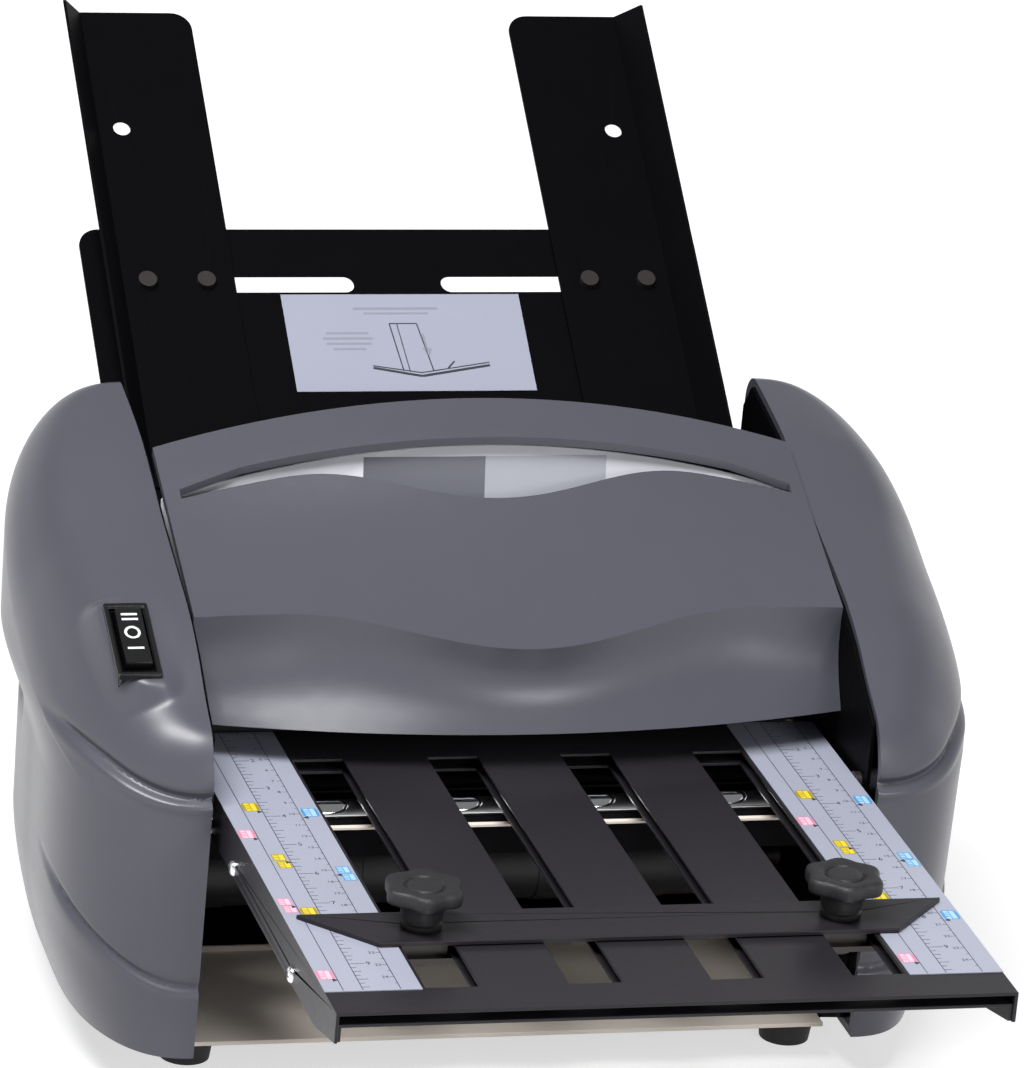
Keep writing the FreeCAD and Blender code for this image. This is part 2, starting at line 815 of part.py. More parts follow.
def make_side_frames():
    plate = prism_x(frame_outline(), (frame_inner_half, frame_outer_half))
    flange = box((frame_inner_half - frame_flange, frame_inner_half), (-base_front + sheet, frame_rear),
                 (base_top, base_top + frame_flange_sheet))
    plate = plate.fuse(flange)
    through = (frame_inner_half - overrun, frame_outer_half + overrun)
    for y, z in rollers + [feed_axis]:
        plate = plate.cut(round_bar_x(bush_radius, through, y, z))
    for y, z in rod_places + [rest_rod] + boss_places + tray_screw_places():
        plate = plate.cut(round_bar_x(screw_radius, through, y, z))
    left = mirrored(plate)
    save("left_side_frame", left)
    right = plate.cut(round_bar_x(motor_nose_radius, through, motor_y, motor_z))
    right = right.cut(round_bar_x(shaft_radius, through, *idler_axis))
    save("right_side_frame", right)


def make_base():
    base = box((-frame_outer_half, frame_outer_half), (-base_front, base_rear), (foot_height, base_top))
    save("base_plate", base)
    floor = box((-floor_half, floor_half), (-floor_front, floor_rear), (floor_top - floor_sheet, floor_top))
    front_lip = box((-floor_half, floor_half), (-floor_front, -floor_front + floor_sheet),
                    (floor_top - floor_front_lip, floor_top))
    rear_lip = box((-floor_half, floor_half), (floor_rear - floor_sheet, floor_rear),
                   (floor_top - floor_sheet, floor_top + floor_rear_lip))
    save("delivery_floor", joined([floor, front_lip, rear_lip]))
    feet = []
    for x in (-foot_half_span, foot_half_span):
        for y in (-foot_front, foot_rear):
            feet.append(Part.makeCone(foot_bottom_radius, foot_top_radius, foot_height, Vector(x, y, 0)))
    save("rubber_feet", *feet)


# Bushes, rods, channels

def make_bushes():
    right = []
    for y, z in rollers + [feed_axis]:
        sleeve = round_bar_x(bush_radius, (frame_inner_half, frame_outer_half), y, z)
        flange = round_bar_x(bush_flange_radius, (frame_outer_half, frame_outer_half + bush_flange), y, z)
        bore = round_bar_x(shaft_radius + running_gap,
                           (frame_inner_half - overrun, frame_outer_half + bush_flange + overrun), y, z)
        right.append(sleeve.fuse(flange).removeSplitter().cut(bore))
    save("right_bushes", *right)
    save("left_bushes", *[mirrored(bush) for bush in right])


def rod_between_frames(radius, place):
    rod = round_bar_x(radius, (-frame_inner_half, frame_inner_half), *place)
    deep = frame_inner_half - screw_depth
    for limits in ((deep, frame_inner_half + overrun), (-frame_inner_half - overrun, -deep)):
        rod = rod.cut(round_bar_x(screw_radius, limits, *place))
    return rod


def make_rods_and_channels():
    save("table_rest_rod", rod_between_frames(rest_rod_radius, rest_rod))
    rods = [rod_between_frames(shaft_radius, place) for place in rod_places]
    axle = round_bar_x(shaft_radius, (frame_inner_half, gear_inside + gear_width + bush_flange), *idler_axis)
    collar = round_bar_x(bush_radius, (frame_outer_half, gear_inside - seat_gap), *idler_axis)
    save("cross_rods", *(rods + [axle.fuse(collar).removeSplitter()]))
    channels = []
    for y, top in ((-front_channel_y, front_channel_top), (-inner_channel_y, inner_channel_top)):
        span = (-frame_inner_half, frame_inner_half)
        web = box(span, (y, y + channel_sheet), (top - channel_height, top))
        upper = box(span, (y, y + channel_depth), (top - channel_sheet, top))
        channels.append(web.fuse(upper).removeSplitter())
    save("cross_channels", *channels)
    lip = box((-frame_inner_half, frame_inner_half), (-front_channel_y - lip_depth / 2, -front_channel_y + lip_depth / 2),
              (front_channel_top, front_channel_top + lip_thickness))
    save("exit_lip", lip)


def tray_screw_places():
    """Screws through the frames into the feed tray's ears."""
    places = []
    for s in tray_ear_s:
        inward = tray_ear_screw_inset * (1 if s == tray_ear_s[0] else -1)
        along, across = s + inward, -tray_ear_depth / 2
        places.append((tray_anchor_y + along * math.cos(tray_rise) - across * math.sin(tray_rise),
                       tray_anchor_z + along * math.sin(tray_rise) + across * math.cos(tray_rise)))
    return places


def frame_screw(place, side, radius):
    """A pan-head screw from outside a frame, pointing inwards."""
    y, z = place
    head = (frame_outer_half, frame_outer_half + screw_head_height)
    shank = (frame_inner_half - screw_depth + slip_gap, frame_outer_half)
    screw = round_bar_x(screw_head_radius, head, y, z).fuse(round_bar_x(radius, shank, y, z)).removeSplitter()
    return screw if side > 0 else mirrored(screw)


def cover_screw(place, side):
    """A pan-head screw from inside a frame, pointing out into a boss of the cover."""
    y, z = place
    head = (frame_inner_half - screw_head_height, frame_inner_half)
    shank = (frame_inner_half, cover_inner_half + screw_depth - slip_gap)
    screw = round_bar_x(screw_head_radius, head, y, z)
    screw = screw.fuse(round_bar_x(screw_radius - running_gap, shank, y, z)).removeSplitter()
    return screw if side > 0 else mirrored(screw)


def make_frame_screws():
    screws = []
    thin = screw_radius - running_gap
    for side in (-1, 1):
        for place in rod_places + [rest_rod]:
            screws.append(frame_screw(place, side, thin))
        for y, z in tray_screw_places():
            head = round_bar_x(screw_head_radius, (frame_outer_half, frame_outer_half + screw_head_height), y, z)
            shank = round_bar_x(thin, (tray_lower_half - sheet - screw_head_height, frame_outer_half), y, z)
            screw = head.fuse(shank).removeSplitter()
            screws.append(screw if side > 0 else mirrored(screw))
        for place in boss_places:
            screws.append(cover_screw(place, side))
    save("frame_screws", *screws)


# Feed tray, guides, retard block

def tray_place(shape):
    return on_slope(shape, tray_slope_angle, tray_anchor_y, tray_anchor_z)


def rounded_outline(points, radii, z):
    """A flat outline of (x, y) points with a round at each corner that has a radius."""
    count = len(points)
    edges = []
    starts, ends = [], []
    for index in range(count):
        corner = Vector(points[index][0], points[index][1], z[0])
        before = Vector(points[index - 1][0], points[index - 1][1], z[0])
        after = Vector(points[(index + 1) % count][0], points[(index + 1) % count][1], z[0])
        to_before, to_after = before.sub(corner).normalize(), after.sub(corner).normalize()
        turn = to_before.getAngle(to_after)
        back = radii[index] / math.tan(turn / 2)
        enter = corner.add(Vector(to_before).multiply(back))
        leave = corner.add(Vector(to_after).multiply(back))
        starts.append(enter)
        ends.append(leave)
        if radii[index] > 0:
            inward = Vector(to_before).add(to_after).normalize()
            centre = corner.add(inward.multiply(radii[index] / math.sin(turn / 2)))
            middle = centre.add(corner.sub(centre).normalize().multiply(radii[index]))
            edges.append(Part.Arc(enter, middle, leave).toShape())
    for index in range(count):
        edges.append(Part.LineSegment(ends[index], starts[(index + 1) % count]).toShape())
    face = Part.Face(Part.Wire(Part.__sortEdges__(edges)))
    return face.extrude(Vector(0, 0, z[1] - z[0]))


def tray_slot(x_from, x_to, z):
    """A slot across the tray with round ends."""
    middle = box((x_from + tray_slot_half, x_to - tray_slot_half), (-tray_slot_half, tray_slot_half), z)
    left = round_bar_z(tray_slot_half, x_from + tray_slot_half, 0, z)
    right = round_bar_z(tray_slot_half, x_to - tray_slot_half, 0, z)
    return joined([middle, left, right])


guide_back = -sheet
tray_face = guide_back - seat_gap
tray_back = tray_face - sheet


def make_feed_tray():
    points = [(-tray_half, tray_top_s), (tray_half, tray_top_s), (tray_half, tray_shoulder_s),
              (tray_lower_half, tray_shoulder_s - tray_corner), (tray_lower_half, tray_bottom_s),
              (-tray_lower_half, tray_bottom_s), (-tray_lower_half, tray_shoulder_s - tray_corner),
              (-tray_half, tray_shoulder_s)]
    round_corners = [tray_corner, tray_corner, 0, 0, 0, 0, 0, 0]
    plate = rounded_outline(points, round_corners, (tray_back, tray_face))
    cut_z = (tray_back - overrun, overrun)
    for side in (-1, 1):
        ends = sorted((side * tray_slot_inner, side * tray_slot_outer))
        plate = plate.cut(tray_slot(ends[0], ends[1], cut_z))
        limits = sorted((side * tray_lower_half, side * (tray_lower_half - sheet)))
        ear = box(limits, tray_ear_s, (tray_back - tray_ear_depth, tray_face))
        plate = plate.fuse(ear)
    window = box((-pad_half_width - seat_gap, pad_half_width + seat_gap),
                 (pad_s - pad_half_length - seat_gap, pad_s + pad_half_length + seat_gap), cut_z)
    plate = tray_place(plate.cut(window).removeSplitter())
    for y, z in tray_screw_places():
        plate = plate.cut(round_bar_x(screw_radius, (-frame_inner_half - overrun, frame_inner_half + overrun), y, z))
    save("feed_tray", plate)
    label = box((-tray_label_half, tray_label_half), tray_label_s, (tray_face, tray_face + label_thickness))
    save("tray_label", tray_place(label))
    pad_top = pad_rise
    pad = box((-pad_half_width, pad_half_width), (pad_s - pad_half_length, pad_s + pad_half_length),
              (pad_top - pad_thickness, pad_top))
    save("retard_pad", tray_place(pad))
    reach_x, reach_s = pad_half_width + retard_block_margin, pad_half_length + retard_block_margin
    block = box((-reach_x, reach_x), (pad_s - reach_s, pad_s + reach_s), (tray_back - retard_block_height, tray_back))
    post = box((-pad_half_width, pad_half_width), (pad_s - pad_half_length, pad_s + pad_half_length),
               (tray_back, pad_top - pad_thickness))
    block = block.fuse(post) if pad_top - pad_thickness > tray_back else block
    save("retard_block", tray_place(block))


def paper_guide():
    """A right-hand guide: tall plate with its outer side bent up and flared."""
    points = [(guide_inner, guide_top_s), (guide_outer, guide_top_s), (guide_outer, guide_bottom_s),
              (guide_inner, guide_bottom_s)]
    plate = rounded_outline(points, [guide_corner, 0, 0, guide_corner], (guide_back, 0))
    lean = math.atan2(guide_flare, guide_flange)
    skin_x, skin_n = sheet * math.cos(lean), sheet * math.sin(lean)
    section = [(guide_outer - sheet, guide_back), (guide_outer + skin_x, guide_back),
               (guide_outer + guide_flare + skin_x, guide_flange - skin_n),
               (guide_outer + guide_flare, guide_flange), (guide_outer - sheet, 0)]
    corners = [Vector(x, guide_bottom_s, n) for x, n in section]
    length = guide_top_s - guide_bottom_s
    flange = Part.Face(Part.makePolygon(corners + corners[:1])).extrude(Vector(0, length, 0))
    slant = prism_x([(guide_top_s, guide_back), (guide_top_s - guide_flange_short, guide_flange + overrun),
                     (guide_top_s + overrun, guide_flange + overrun)], (guide_inner, guide_outer + 2 * guide_flange))
    low_slant = prism_x([(guide_bottom_s, 0), (guide_bottom_s + guide_flange, guide_flange + overrun),
                         (guide_bottom_s - overrun, guide_flange + overrun)], (guide_inner, guide_outer + 2 * guide_flange))
    flange = flange.cut(slant).cut(low_slant)
    hole = round_bar_z(guide_hole_radius, guide_hole_x, guide_hole_s, (guide_back - overrun, overrun))
    guide = plate.fuse(flange).removeSplitter().cut(hole)
    for x in guide_screw_xs:
        guide = guide.cut(round_bar_z(screw_radius, x, 0, (guide_back - overrun, overrun)))
    return guide


def guide_screws():
    """Button head in front of the guide, sleeve in the slot, washer behind the tray."""
    screws = []
    for x in guide_screw_xs:
        head = round_bar_z(screw_head_radius, x, 0, (0, screw_head_height))
        shank = round_bar_z(screw_radius - running_gap, x, 0, (tray_back - sheet, 0))
        sleeve = round_bar_z(guide_sleeve_radius, x, 0, (tray_back - slip_gap, guide_back))
        washer = round_bar_z(guide_washer_radius, x, 0, (tray_back - slip_gap - sheet, tray_back - slip_gap))
        screws.append(joined([head, shank, sleeve, washer]))
    return screws


def make_paper_guides():
    right = tray_place(paper_guide())
    save("right_paper_guide", right)
    save("left_paper_guide", mirrored(right))
    screws = [tray_place(screw) for screw in guide_screws()]
    save("right_guide_screws", *screws)
    save("left_guide_screws", *[mirrored(screw) for screw in screws])


# Gears, rollers, drive

def gear_blank_points(phase):
    """The outline of a spur gear with a tooth centred at the phase angle, as (y, z) about its axis."""
    pitch = roller_pitch / 2
    base = pitch * math.cos(math.radians(pressure_angle))
    tip = pitch + addendum_share * gear_module
    root = pitch - dedendum_share * gear_module
    flat = math.radians(pressure_angle)
    pitch_half = (math.pi * gear_module / 2 - gear_backlash / 2) / (2 * pitch)
    involute_at_pitch = math.tan(flat) - flat
    points = []
    for tooth in range(gear_teeth):
        centre = phase + tooth * 2 * math.pi / gear_teeth
        flank = []
        for step in range(5):
            radius = base + (tip - base) * step / 4
            angle = math.acos(base / radius)
            half = pitch_half + involute_at_pitch - (math.tan(angle) - angle)
            flank.append((radius, half))
        side = [(root, flank[0][1])] + flank
        for radius, half in side:
            points.append((radius * math.cos(centre - half), radius * math.sin(centre - half)))
        for radius, half in reversed(side):
            points.append((radius * math.cos(centre + half), radius * math.sin(centre + half)))
    return points


def next_phase(phase, start, end):
    """Phase of a gear that meshes with another of the same size, from the two axes."""
    direction = math.atan2(end[1] - start[1], end[0] - start[0])
    return 2 * direction + math.pi - phase - math.pi / gear_teeth


def gear_at(place, phase, bore):
    y, z = place
    points = [(y + dy, z + dz) for dy, dz in gear_blank_points(phase)]
    wheel = prism_x(points, (gear_inside, gear_inside + gear_width))
    return wheel.cut(round_bar_x(bore, (gear_inside - overrun, gear_inside + gear_width + overrun), y, z))


def fold_roller(place, shaft_end):
    """A steel roller with shallow rubber bands, on its shaft."""
    y, z = place
    body = round_bar_x(roller_radius, (-roller_half, roller_half), y, z)
    band = 2 * roller_half / (2 * band_count + 1)
    for index in range(band_count):
        start = -roller_half + band * (2 * index + 1)
        ring = round_bar_x(roller_radius + overrun, (start, start + band), y, z)
        ring = ring.cut(round_bar_x(roller_radius - band_depth, (start - overrun, start + band + overrun), y, z))
        body = body.cut(ring)
    left_end = -frame_outer_half - bush_flange - seat_gap
    shaft = round_bar_x(shaft_radius, (left_end, shaft_end), y, z)
    return joined([body, shaft])


def make_rollers_and_gears():
    gear_end = gear_inside + gear_width
    phase = math.pi / 2
    phases = [phase]
    for index in range(3):
        phases.append(next_phase(phases[-1], rollers[index], rollers[index + 1]))
    for index, place in enumerate(rollers):
        last = index == 3
        end = pulley_inside + pulley_width if last else gear_end
        save("fold_roller_%d" % (index + 1), fold_roller(place, end))
        save("roller_gear_%d" % (index + 1), gear_at(place, phases[index], shaft_radius))
    idler_phase = next_phase(phases[0], rollers[0], idler_axis)
    save("idler_gear", gear_at(idler_axis, idler_phase, shaft_radius + running_gap))
    feed_phase = next_phase(idler_phase, idler_axis, feed_axis)
    save("feed_gear", gear_at(feed_axis, feed_phase, shaft_radius))
    left_end = -frame_outer_half - bush_flange - seat_gap
    save("feed_shaft", round_bar_x(shaft_radius, (left_end, gear_end), *feed_axis))
    tyres = []
    for middle in (-tyre_middle, tyre_middle):
        limits = (middle - tyre_width / 2, middle + tyre_width / 2)
        tyre = round_bar_x(tyre_radius, limits, *feed_axis)
        tyres.append(tyre.cut(round_bar_x(shaft_radius, limits, *feed_axis)))
    save("feed_tyres", *tyres)


def pulley(place, radius, bore):
    y, z = place
    end = pulley_inside + pulley_width
    wheel = round_bar_x(radius, (pulley_inside, end), y, z)
    for rim in ((pulley_inside, pulley_inside + pulley_rim), (end - pulley_rim, end)):
        wheel = wheel.fuse(round_bar_x(radius + belt_thickness + pulley_rim, rim, y, z))
    wheel = wheel.removeSplitter()
    return wheel.cut(round_bar_x(bore, (pulley_inside - overrun, end + overrun), y, z)) if bore else wheel


def belt_loop(grow, x):
    """A solid slab bounded by the belt's line, grown outwards from the pulleys."""
    y1, z1 = motor_y, motor_z
    y2, z2 = rollers[3]
    small, large = motor_pulley_radius + grow, driven_pulley_radius + grow
    span = math.hypot(y2 - y1, z2 - z1)
    heading = math.atan2(z2 - z1, y2 - y1)
    spread = math.acos((small - large) / span)
    corners = []
    for side in (1, -1):
        turn = heading + side * spread
        corners.append(((y1 + small * math.cos(turn), z1 + small * math.sin(turn)),
                        (y2 + large * math.cos(turn), z2 + large * math.sin(turn))))
    quad = [corners[0][0], corners[0][1], corners[1][1], corners[1][0]]
    middle = prism_x(quad, x)
    return joined([middle, round_bar_x(small, x, y1, z1), round_bar_x(large, x, y2, z2)])


def make_drive():
    save("driven_pulley", pulley(rollers[3], driven_pulley_radius, shaft_radius))
    motor_inner = frame_inner_half - motor_length
    can = round_bar_x(motor_radius, (motor_inner, frame_inner_half), motor_y, motor_z)
    nose = round_bar_x(motor_nose_radius - slip_gap, (frame_inner_half, frame_outer_half), motor_y, motor_z)
    bore = round_bar_x(motor_shaft_radius + running_gap,
                       (frame_inner_half - motor_bore_depth, frame_outer_half + overrun), motor_y, motor_z)
    save("motor", can.fuse(nose).removeSplitter().cut(bore))
    shaft = round_bar_x(motor_shaft_radius, (frame_inner_half - motor_bore_depth + seat_gap, pulley_inside + pulley_width),
                        motor_y, motor_z)
    save("motor_pulley", joined([pulley((motor_y, motor_z), motor_pulley_radius, 0), shaft]))
    limits = (pulley_inside + pulley_rim + seat_gap, pulley_inside + pulley_width - pulley_rim - seat_gap)
    outer = belt_loop(seat_gap + belt_thickness, limits)
    inner = belt_loop(seat_gap, (limits[0] - overrun, limits[1] + overrun))
    save("drive_belt", outer.cut(inner))


# First fold plate

lower_top = plate_top - sheet - paper_gap
slot_xs = [slot_pitch * (index - 1.5) for index in range(4)]


def fold_sheet(half, top, front):
    """A sheet with its sides bent down, their front corners cut back and their rear parts stepped up."""
    flat = box((-half, half), (-front, -plate_rear), (top - sheet, top))
    side = [(-front, top), (-front, plate_chamfer_z), (-plate_chamfer_y, plate_flange_bottom),
            (-plate_step_y, plate_flange_bottom), (-plate_step_y, rest_top), (-plate_rear, rest_top), (-plate_rear, top)]
    pieces = [flat, prism_x(side, (half - sheet, half)), prism_x(side, (-half, -half + sheet))]
    body = joined(pieces)
    for x in slot_xs:
        limits = (x - slot_width / 2, x + slot_width / 2)
        body = body.cut(box(limits, (-slot_front, -slot_back), (top - sheet - overrun, top + overrun)))
    for y in flange_screw_ys:
        body = body.cut(round_bar_x(flange_screw_radius, (-half - overrun, half + overrun), -y, flange_screw_z))
    return body


def make_fold_plate():
    save("upper_fold_plate", fold_sheet(plate_half, plate_top, plate_front))
    lower_half = plate_half - sheet - running_gap
    save("lower_fold_plate", fold_sheet(lower_half, lower_top, plate_front - sheet))
    outer_x, inner_x = plate_half, plate_half - strip_width
    strip = box((inner_x, outer_x), (-strip_front, -strip_rear), (plate_top, plate_top + strip_thickness))
    save("right_ruler_strip", strip)
    save("left_ruler_strip", mirrored(strip))
    screws = []
    for y in flange_screw_ys:
        head = round_bar_x(flange_head_radius, (plate_half, plate_half + flange_head_height), -y, flange_screw_z)
        shank = round_bar_x(flange_screw_radius - running_gap, (lower_half - sheet, plate_half), -y, flange_screw_z)
        nut = round_bar_x(flange_head_radius, (lower_half - 3 * sheet, lower_half - sheet), -y, flange_screw_z)
        screw = joined([head, shank, nut])
        screws += [screw, mirrored(screw)]
    save("flange_screws", *screws)


# Stop bar, clamps and knobs

bar_bottom = plate_top + strip_thickness + slip_gap
bar_top = bar_bottom + bar_thickness
stud_y = -bar_rear - bar_width / 2
stud_x = slot_xs[3]
clamp_top = lower_top - sheet - slip_gap
clamp_bottom = clamp_top - clamp_plate_thickness


def make_stop_bar():
    rear, front = -bar_rear, -bar_rear - bar_width
    outline = [(-bar_rear_half, rear), (bar_rear_half, rear), (bar_front_half, front), (-bar_front_half, front)]
    pieces = [prism_z(outline, (bar_bottom, bar_top))]
    for x in slot_xs:
        limits = (x - finger_width / 2, x + finger_width / 2)
        pieces.append(box(limits, (rear - bar_thickness, rear), (clamp_bottom - finger_below, bar_bottom)))
    bar = joined(pieces)
    plates, bolts = [], []
    for x in (-stud_x, stud_x):
        hole = round_bar_z(clamp_stud_radius + running_gap, x, stud_y, (clamp_bottom - overrun, bar_top + overrun))
        bar = bar.cut(hole)
        wide = (x - clamp_plate_width / 2, x + clamp_plate_width / 2)
        narrow = (x - clamp_block_width / 2, x + clamp_block_width / 2)
        far = stud_y - clamp_plate_length / 2
        wing = box(wide, (far, rear - bar_thickness - seat_gap), (clamp_bottom, clamp_top))
        block = box(narrow, (stud_y - clamp_block_length / 2, stud_y + clamp_block_length / 2), (clamp_top, bar_bottom))
        plates.append(joined([wing, block]).cut(hole))
        shank = round_bar_z(clamp_stud_radius, x, stud_y, (clamp_bottom, bar_top + knob_bore_depth - seat_gap))
        head = round_bar_z(clamp_head_radius, x, stud_y, (clamp_bottom - clamp_head_height, clamp_bottom))
        bolts.append(joined([shank, head]))
    save("stop_bar", bar)
    save("clamp_plates", *plates)
    save("clamp_bolts", *bolts)


def clamp_knob():
    """A six-lobed knob on a slightly tapered neck, with a round inset in its top."""
    foot = seat_gap / 2
    head_bottom = knob_height - knob_head_height
    neck = Part.makeCone(knob_neck_foot_radius, knob_neck_radius, head_bottom - foot + slip_gap, Vector(0, 0, foot))
    core = Part.makeCylinder(knob_core_radius, knob_head_height, Vector(0, 0, head_bottom))
    pieces = [neck, core]
    ring = knob_lobe_reach - knob_lobe_radius
    for index in range(knob_lobes):
        turn = 2 * math.pi * index / knob_lobes
        place = Vector(ring * math.cos(turn), ring * math.sin(turn), head_bottom)
        pieces.append(Part.makeCylinder(knob_lobe_radius, knob_head_height, place))
    knob = joined(pieces)
    dome = Part.makeCylinder(knob_inset_radius, overrun, Vector(0, 0, knob_height - knob_inset_depth))
    button = Part.makeCylinder(knob_inset_radius - knob_inset_depth, knob_inset_depth,
                               Vector(0, 0, knob_height - knob_inset_depth))
    knob = knob.cut(dome).fuse(button).removeSplitter()
    bore = Part.makeCylinder(clamp_stud_radius + running_gap, knob_bore_depth + overrun, Vector(0, 0, -overrun))
    return knob.cut(bore)


def make_knobs():
    for node, x in (("left_clamp_knob", -stud_x), ("right_clamp_knob", stud_x)):
        knob = clamp_knob()
        knob.translate(Vector(x, stud_y, bar_top))
        save(node, knob)


# Second fold plate and its stop

def second_slope(shape):
    return on_slope(shape, second_lean_angle, *second_nip)


def make_second_plate():
    half_gap = second_gap / 2
    limits = (second_start, second_end)
    upper = box((-second_half, second_half), limits, (half_gap, half_gap + sheet))
    sides = [box(sorted((side * second_half, side * (second_half - sheet))), limits, (-half_gap - sheet, half_gap))
             for side in (-1, 1)]
    upper = joined([upper] + sides)
    inner = second_half - sheet - running_gap
    lower = box((-inner, inner), limits, (-half_gap - sheet, -half_gap))
    tall = (-half_gap - sheet - overrun, half_gap + sheet + overrun)
    for x in (-second_slot_x, second_slot_x):
        slot = box((x - second_slot_width / 2, x + second_slot_width / 2), second_slot_s, tall)
        upper = upper.cut(slot)
        lower = lower.cut(slot)
    save("rear_plate_upper", second_slope(upper))
    save("rear_plate_lower", second_slope(lower))
    low = half_gap + sheet + slip_gap
    reach = (second_stop_s, second_stop_s + second_stop_length)
    pieces = [box((-second_stop_half, second_stop_half), reach, (low, low + second_stop_thickness))]
    grip = (second_stop_s + second_stop_length - second_stop_thickness, second_stop_s + second_stop_length)
    pieces.append(box((-second_stop_half, second_stop_half), grip, (low, low + 4 * second_stop_thickness)))
    for x in (-second_slot_x, second_slot_x):
        finger = box((x - second_finger_width / 2, x + second_finger_width / 2),
                     (second_stop_s, second_stop_s + second_stop_thickness),
                     (-half_gap - sheet + seat_gap, low))
        pieces.append(finger)
    save("rear_stop", second_slope(joined(pieces)))


# Rear cover, inlet and control board

def make_rear_cover():
    outside = frame_rear - seat_gap
    inside = outside - rear_cover_sheet
    cover = box((-frame_inner_half + frame_flange_sheet, frame_inner_half - frame_flange_sheet), (inside, outside),
                (base_top + frame_flange_sheet, rear_cover_top))
    hole = box((inlet_x - inlet_width / 2, inlet_x + inlet_width / 2), (inside - overrun, outside + overrun),
               (inlet_z - inlet_height / 2, inlet_z + inlet_height / 2))
    save("rear_cover", cover.cut(hole))
    wide, tall = inlet_width / 2 - slip_gap, inlet_height / 2 - slip_gap
    body = box((inlet_x - wide, inlet_x + wide), (outside - inlet_depth, outside), (inlet_z - tall, inlet_z + tall))
    rim = box((inlet_x - wide - inlet_rim, inlet_x + wide + inlet_rim), (outside, outside + inlet_rim_thickness),
              (inlet_z - tall - inlet_rim, inlet_z + tall + inlet_rim))
    mouth = outside + inlet_rim_thickness
    cavity_floor = mouth - inlet_cavity_depth
    cavity = box((inlet_x - inlet_cavity_width / 2, inlet_x + inlet_cavity_width / 2), (cavity_floor, mouth + overrun),
                 (inlet_z - inlet_cavity_height / 2, inlet_z + inlet_cavity_height / 2))
    inlet = joined([body, rim]).cut(cavity)
    pins = []
    for index in (-1, 0, 1):
        x = inlet_x + index * inlet_pin_pitch
        z = inlet_z + (inlet_pin_raise if index == 0 else -inlet_pin_raise)
        pins.append(box((x - inlet_pin_width / 2, x + inlet_pin_width / 2), (cavity_floor, cavity_floor + inlet_pin_length),
                        (z - inlet_pin_height / 2, z + inlet_pin_height / 2)))
    save("mains_inlet", joined([inlet] + pins))


def make_control_board():
    face = -frame_outer_half - board_standoff
    board = box((face - board_thickness, face), board_y, board_z)
    pieces = [board]
    for y in (board_y[0] + board_inset, board_y[1] - board_inset):
        for z in (board_z[0] + board_inset, board_z[1] - board_inset):
            pieces.append(round_bar_x(board_standoff_radius, (face, -frame_outer_half), y, z))
    middle_y, middle_z = sum(board_y) / 2, sum(board_z) / 2
    back = face - board_thickness
    pieces.append(round_bar_x(capacitor_radius, (back - capacitor_height, back), middle_y - 2 * capacitor_radius, middle_z))
    sink = heatsink_size
    pieces.append(box((back - sink[0], back), (middle_y + board_inset, middle_y + board_inset + sink[1]),
                      (middle_z - sink[2] / 2, middle_z + sink[2] / 2)))
    save("control_board", *pieces)


os.makedirs("parts", exist_ok=True)
make_base()
make_side_frames()
make_side_covers()
make_switch()
make_top_cover()
make_ramp()
make_bushes()
make_rods_and_channels()
make_frame_screws()
make_feed_tray()
make_paper_guides()
make_rollers_and_gears()
make_drive()
make_fold_plate()
make_stop_bar()
make_knobs()
make_second_plate()
make_rear_cover()
make_control_board()
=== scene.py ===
# %% [markdown]
# A desktop paper folding machine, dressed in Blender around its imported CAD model.
# The CAD gives every solid its true size and place. This script adds the finishes, the fine
# forms that a drawing office leaves out, such as moulded lines, prints and legends, and the studio.

# %% Load the model and its frame
import math

import bmesh
import bpy
from mathutils import Matrix, Vector


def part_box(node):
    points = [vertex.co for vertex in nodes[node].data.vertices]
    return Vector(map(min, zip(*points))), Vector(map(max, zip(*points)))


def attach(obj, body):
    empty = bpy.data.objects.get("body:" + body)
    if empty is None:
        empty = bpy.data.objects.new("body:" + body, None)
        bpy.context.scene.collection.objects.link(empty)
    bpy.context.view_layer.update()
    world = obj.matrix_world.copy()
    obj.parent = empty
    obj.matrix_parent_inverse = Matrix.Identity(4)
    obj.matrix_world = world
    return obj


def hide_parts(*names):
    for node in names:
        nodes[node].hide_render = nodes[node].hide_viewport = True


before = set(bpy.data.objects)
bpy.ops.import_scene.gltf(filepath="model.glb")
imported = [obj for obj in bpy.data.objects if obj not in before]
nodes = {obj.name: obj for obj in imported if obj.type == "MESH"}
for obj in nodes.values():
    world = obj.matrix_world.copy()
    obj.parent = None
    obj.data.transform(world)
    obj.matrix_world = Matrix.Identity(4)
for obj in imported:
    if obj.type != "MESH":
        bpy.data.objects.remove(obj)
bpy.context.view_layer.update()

# %% [markdown]
# Sizes on this machine are easiest to think of in millimetres, counted along Y from the first
# fold nip, where both ruler strips start. Blender works in metres about the model's own origin.
# The ruler strips end 24 mm in front of the nip, so their box in the model gives the nip's place.

# %% Millimetres about the first fold nip
strip_to_nip = 0.024
nip_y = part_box("left_ruler_strip")[1].y + strip_to_nip


def spot(x, y, z):
    """A place in the model from millimetres about the first fold nip."""
    return Vector((x / 1000, nip_y + y / 1000, z / 1000))


print("first nip at y =", round(nip_y * 1000, 2), "mm")

# %% [markdown]
# The camera stands to the user's left and a little above, far away with a long lens, so that the
# lines of the fold plate stay nearly parallel. It is tipped slightly, as a hand-held camera is.
# A camera in Blender looks along its own -Z, so its axes are built from the view direction and
# then turned about it by the tip.

# %% Camera
camera_place = spot(-698, -2342, 1100)
view_direction = Vector((0.2692, 0.8974, -0.3495)).normalized()
camera_tip = math.radians(5.3)
picture_height = 1068
focal_pixels = 7030.2


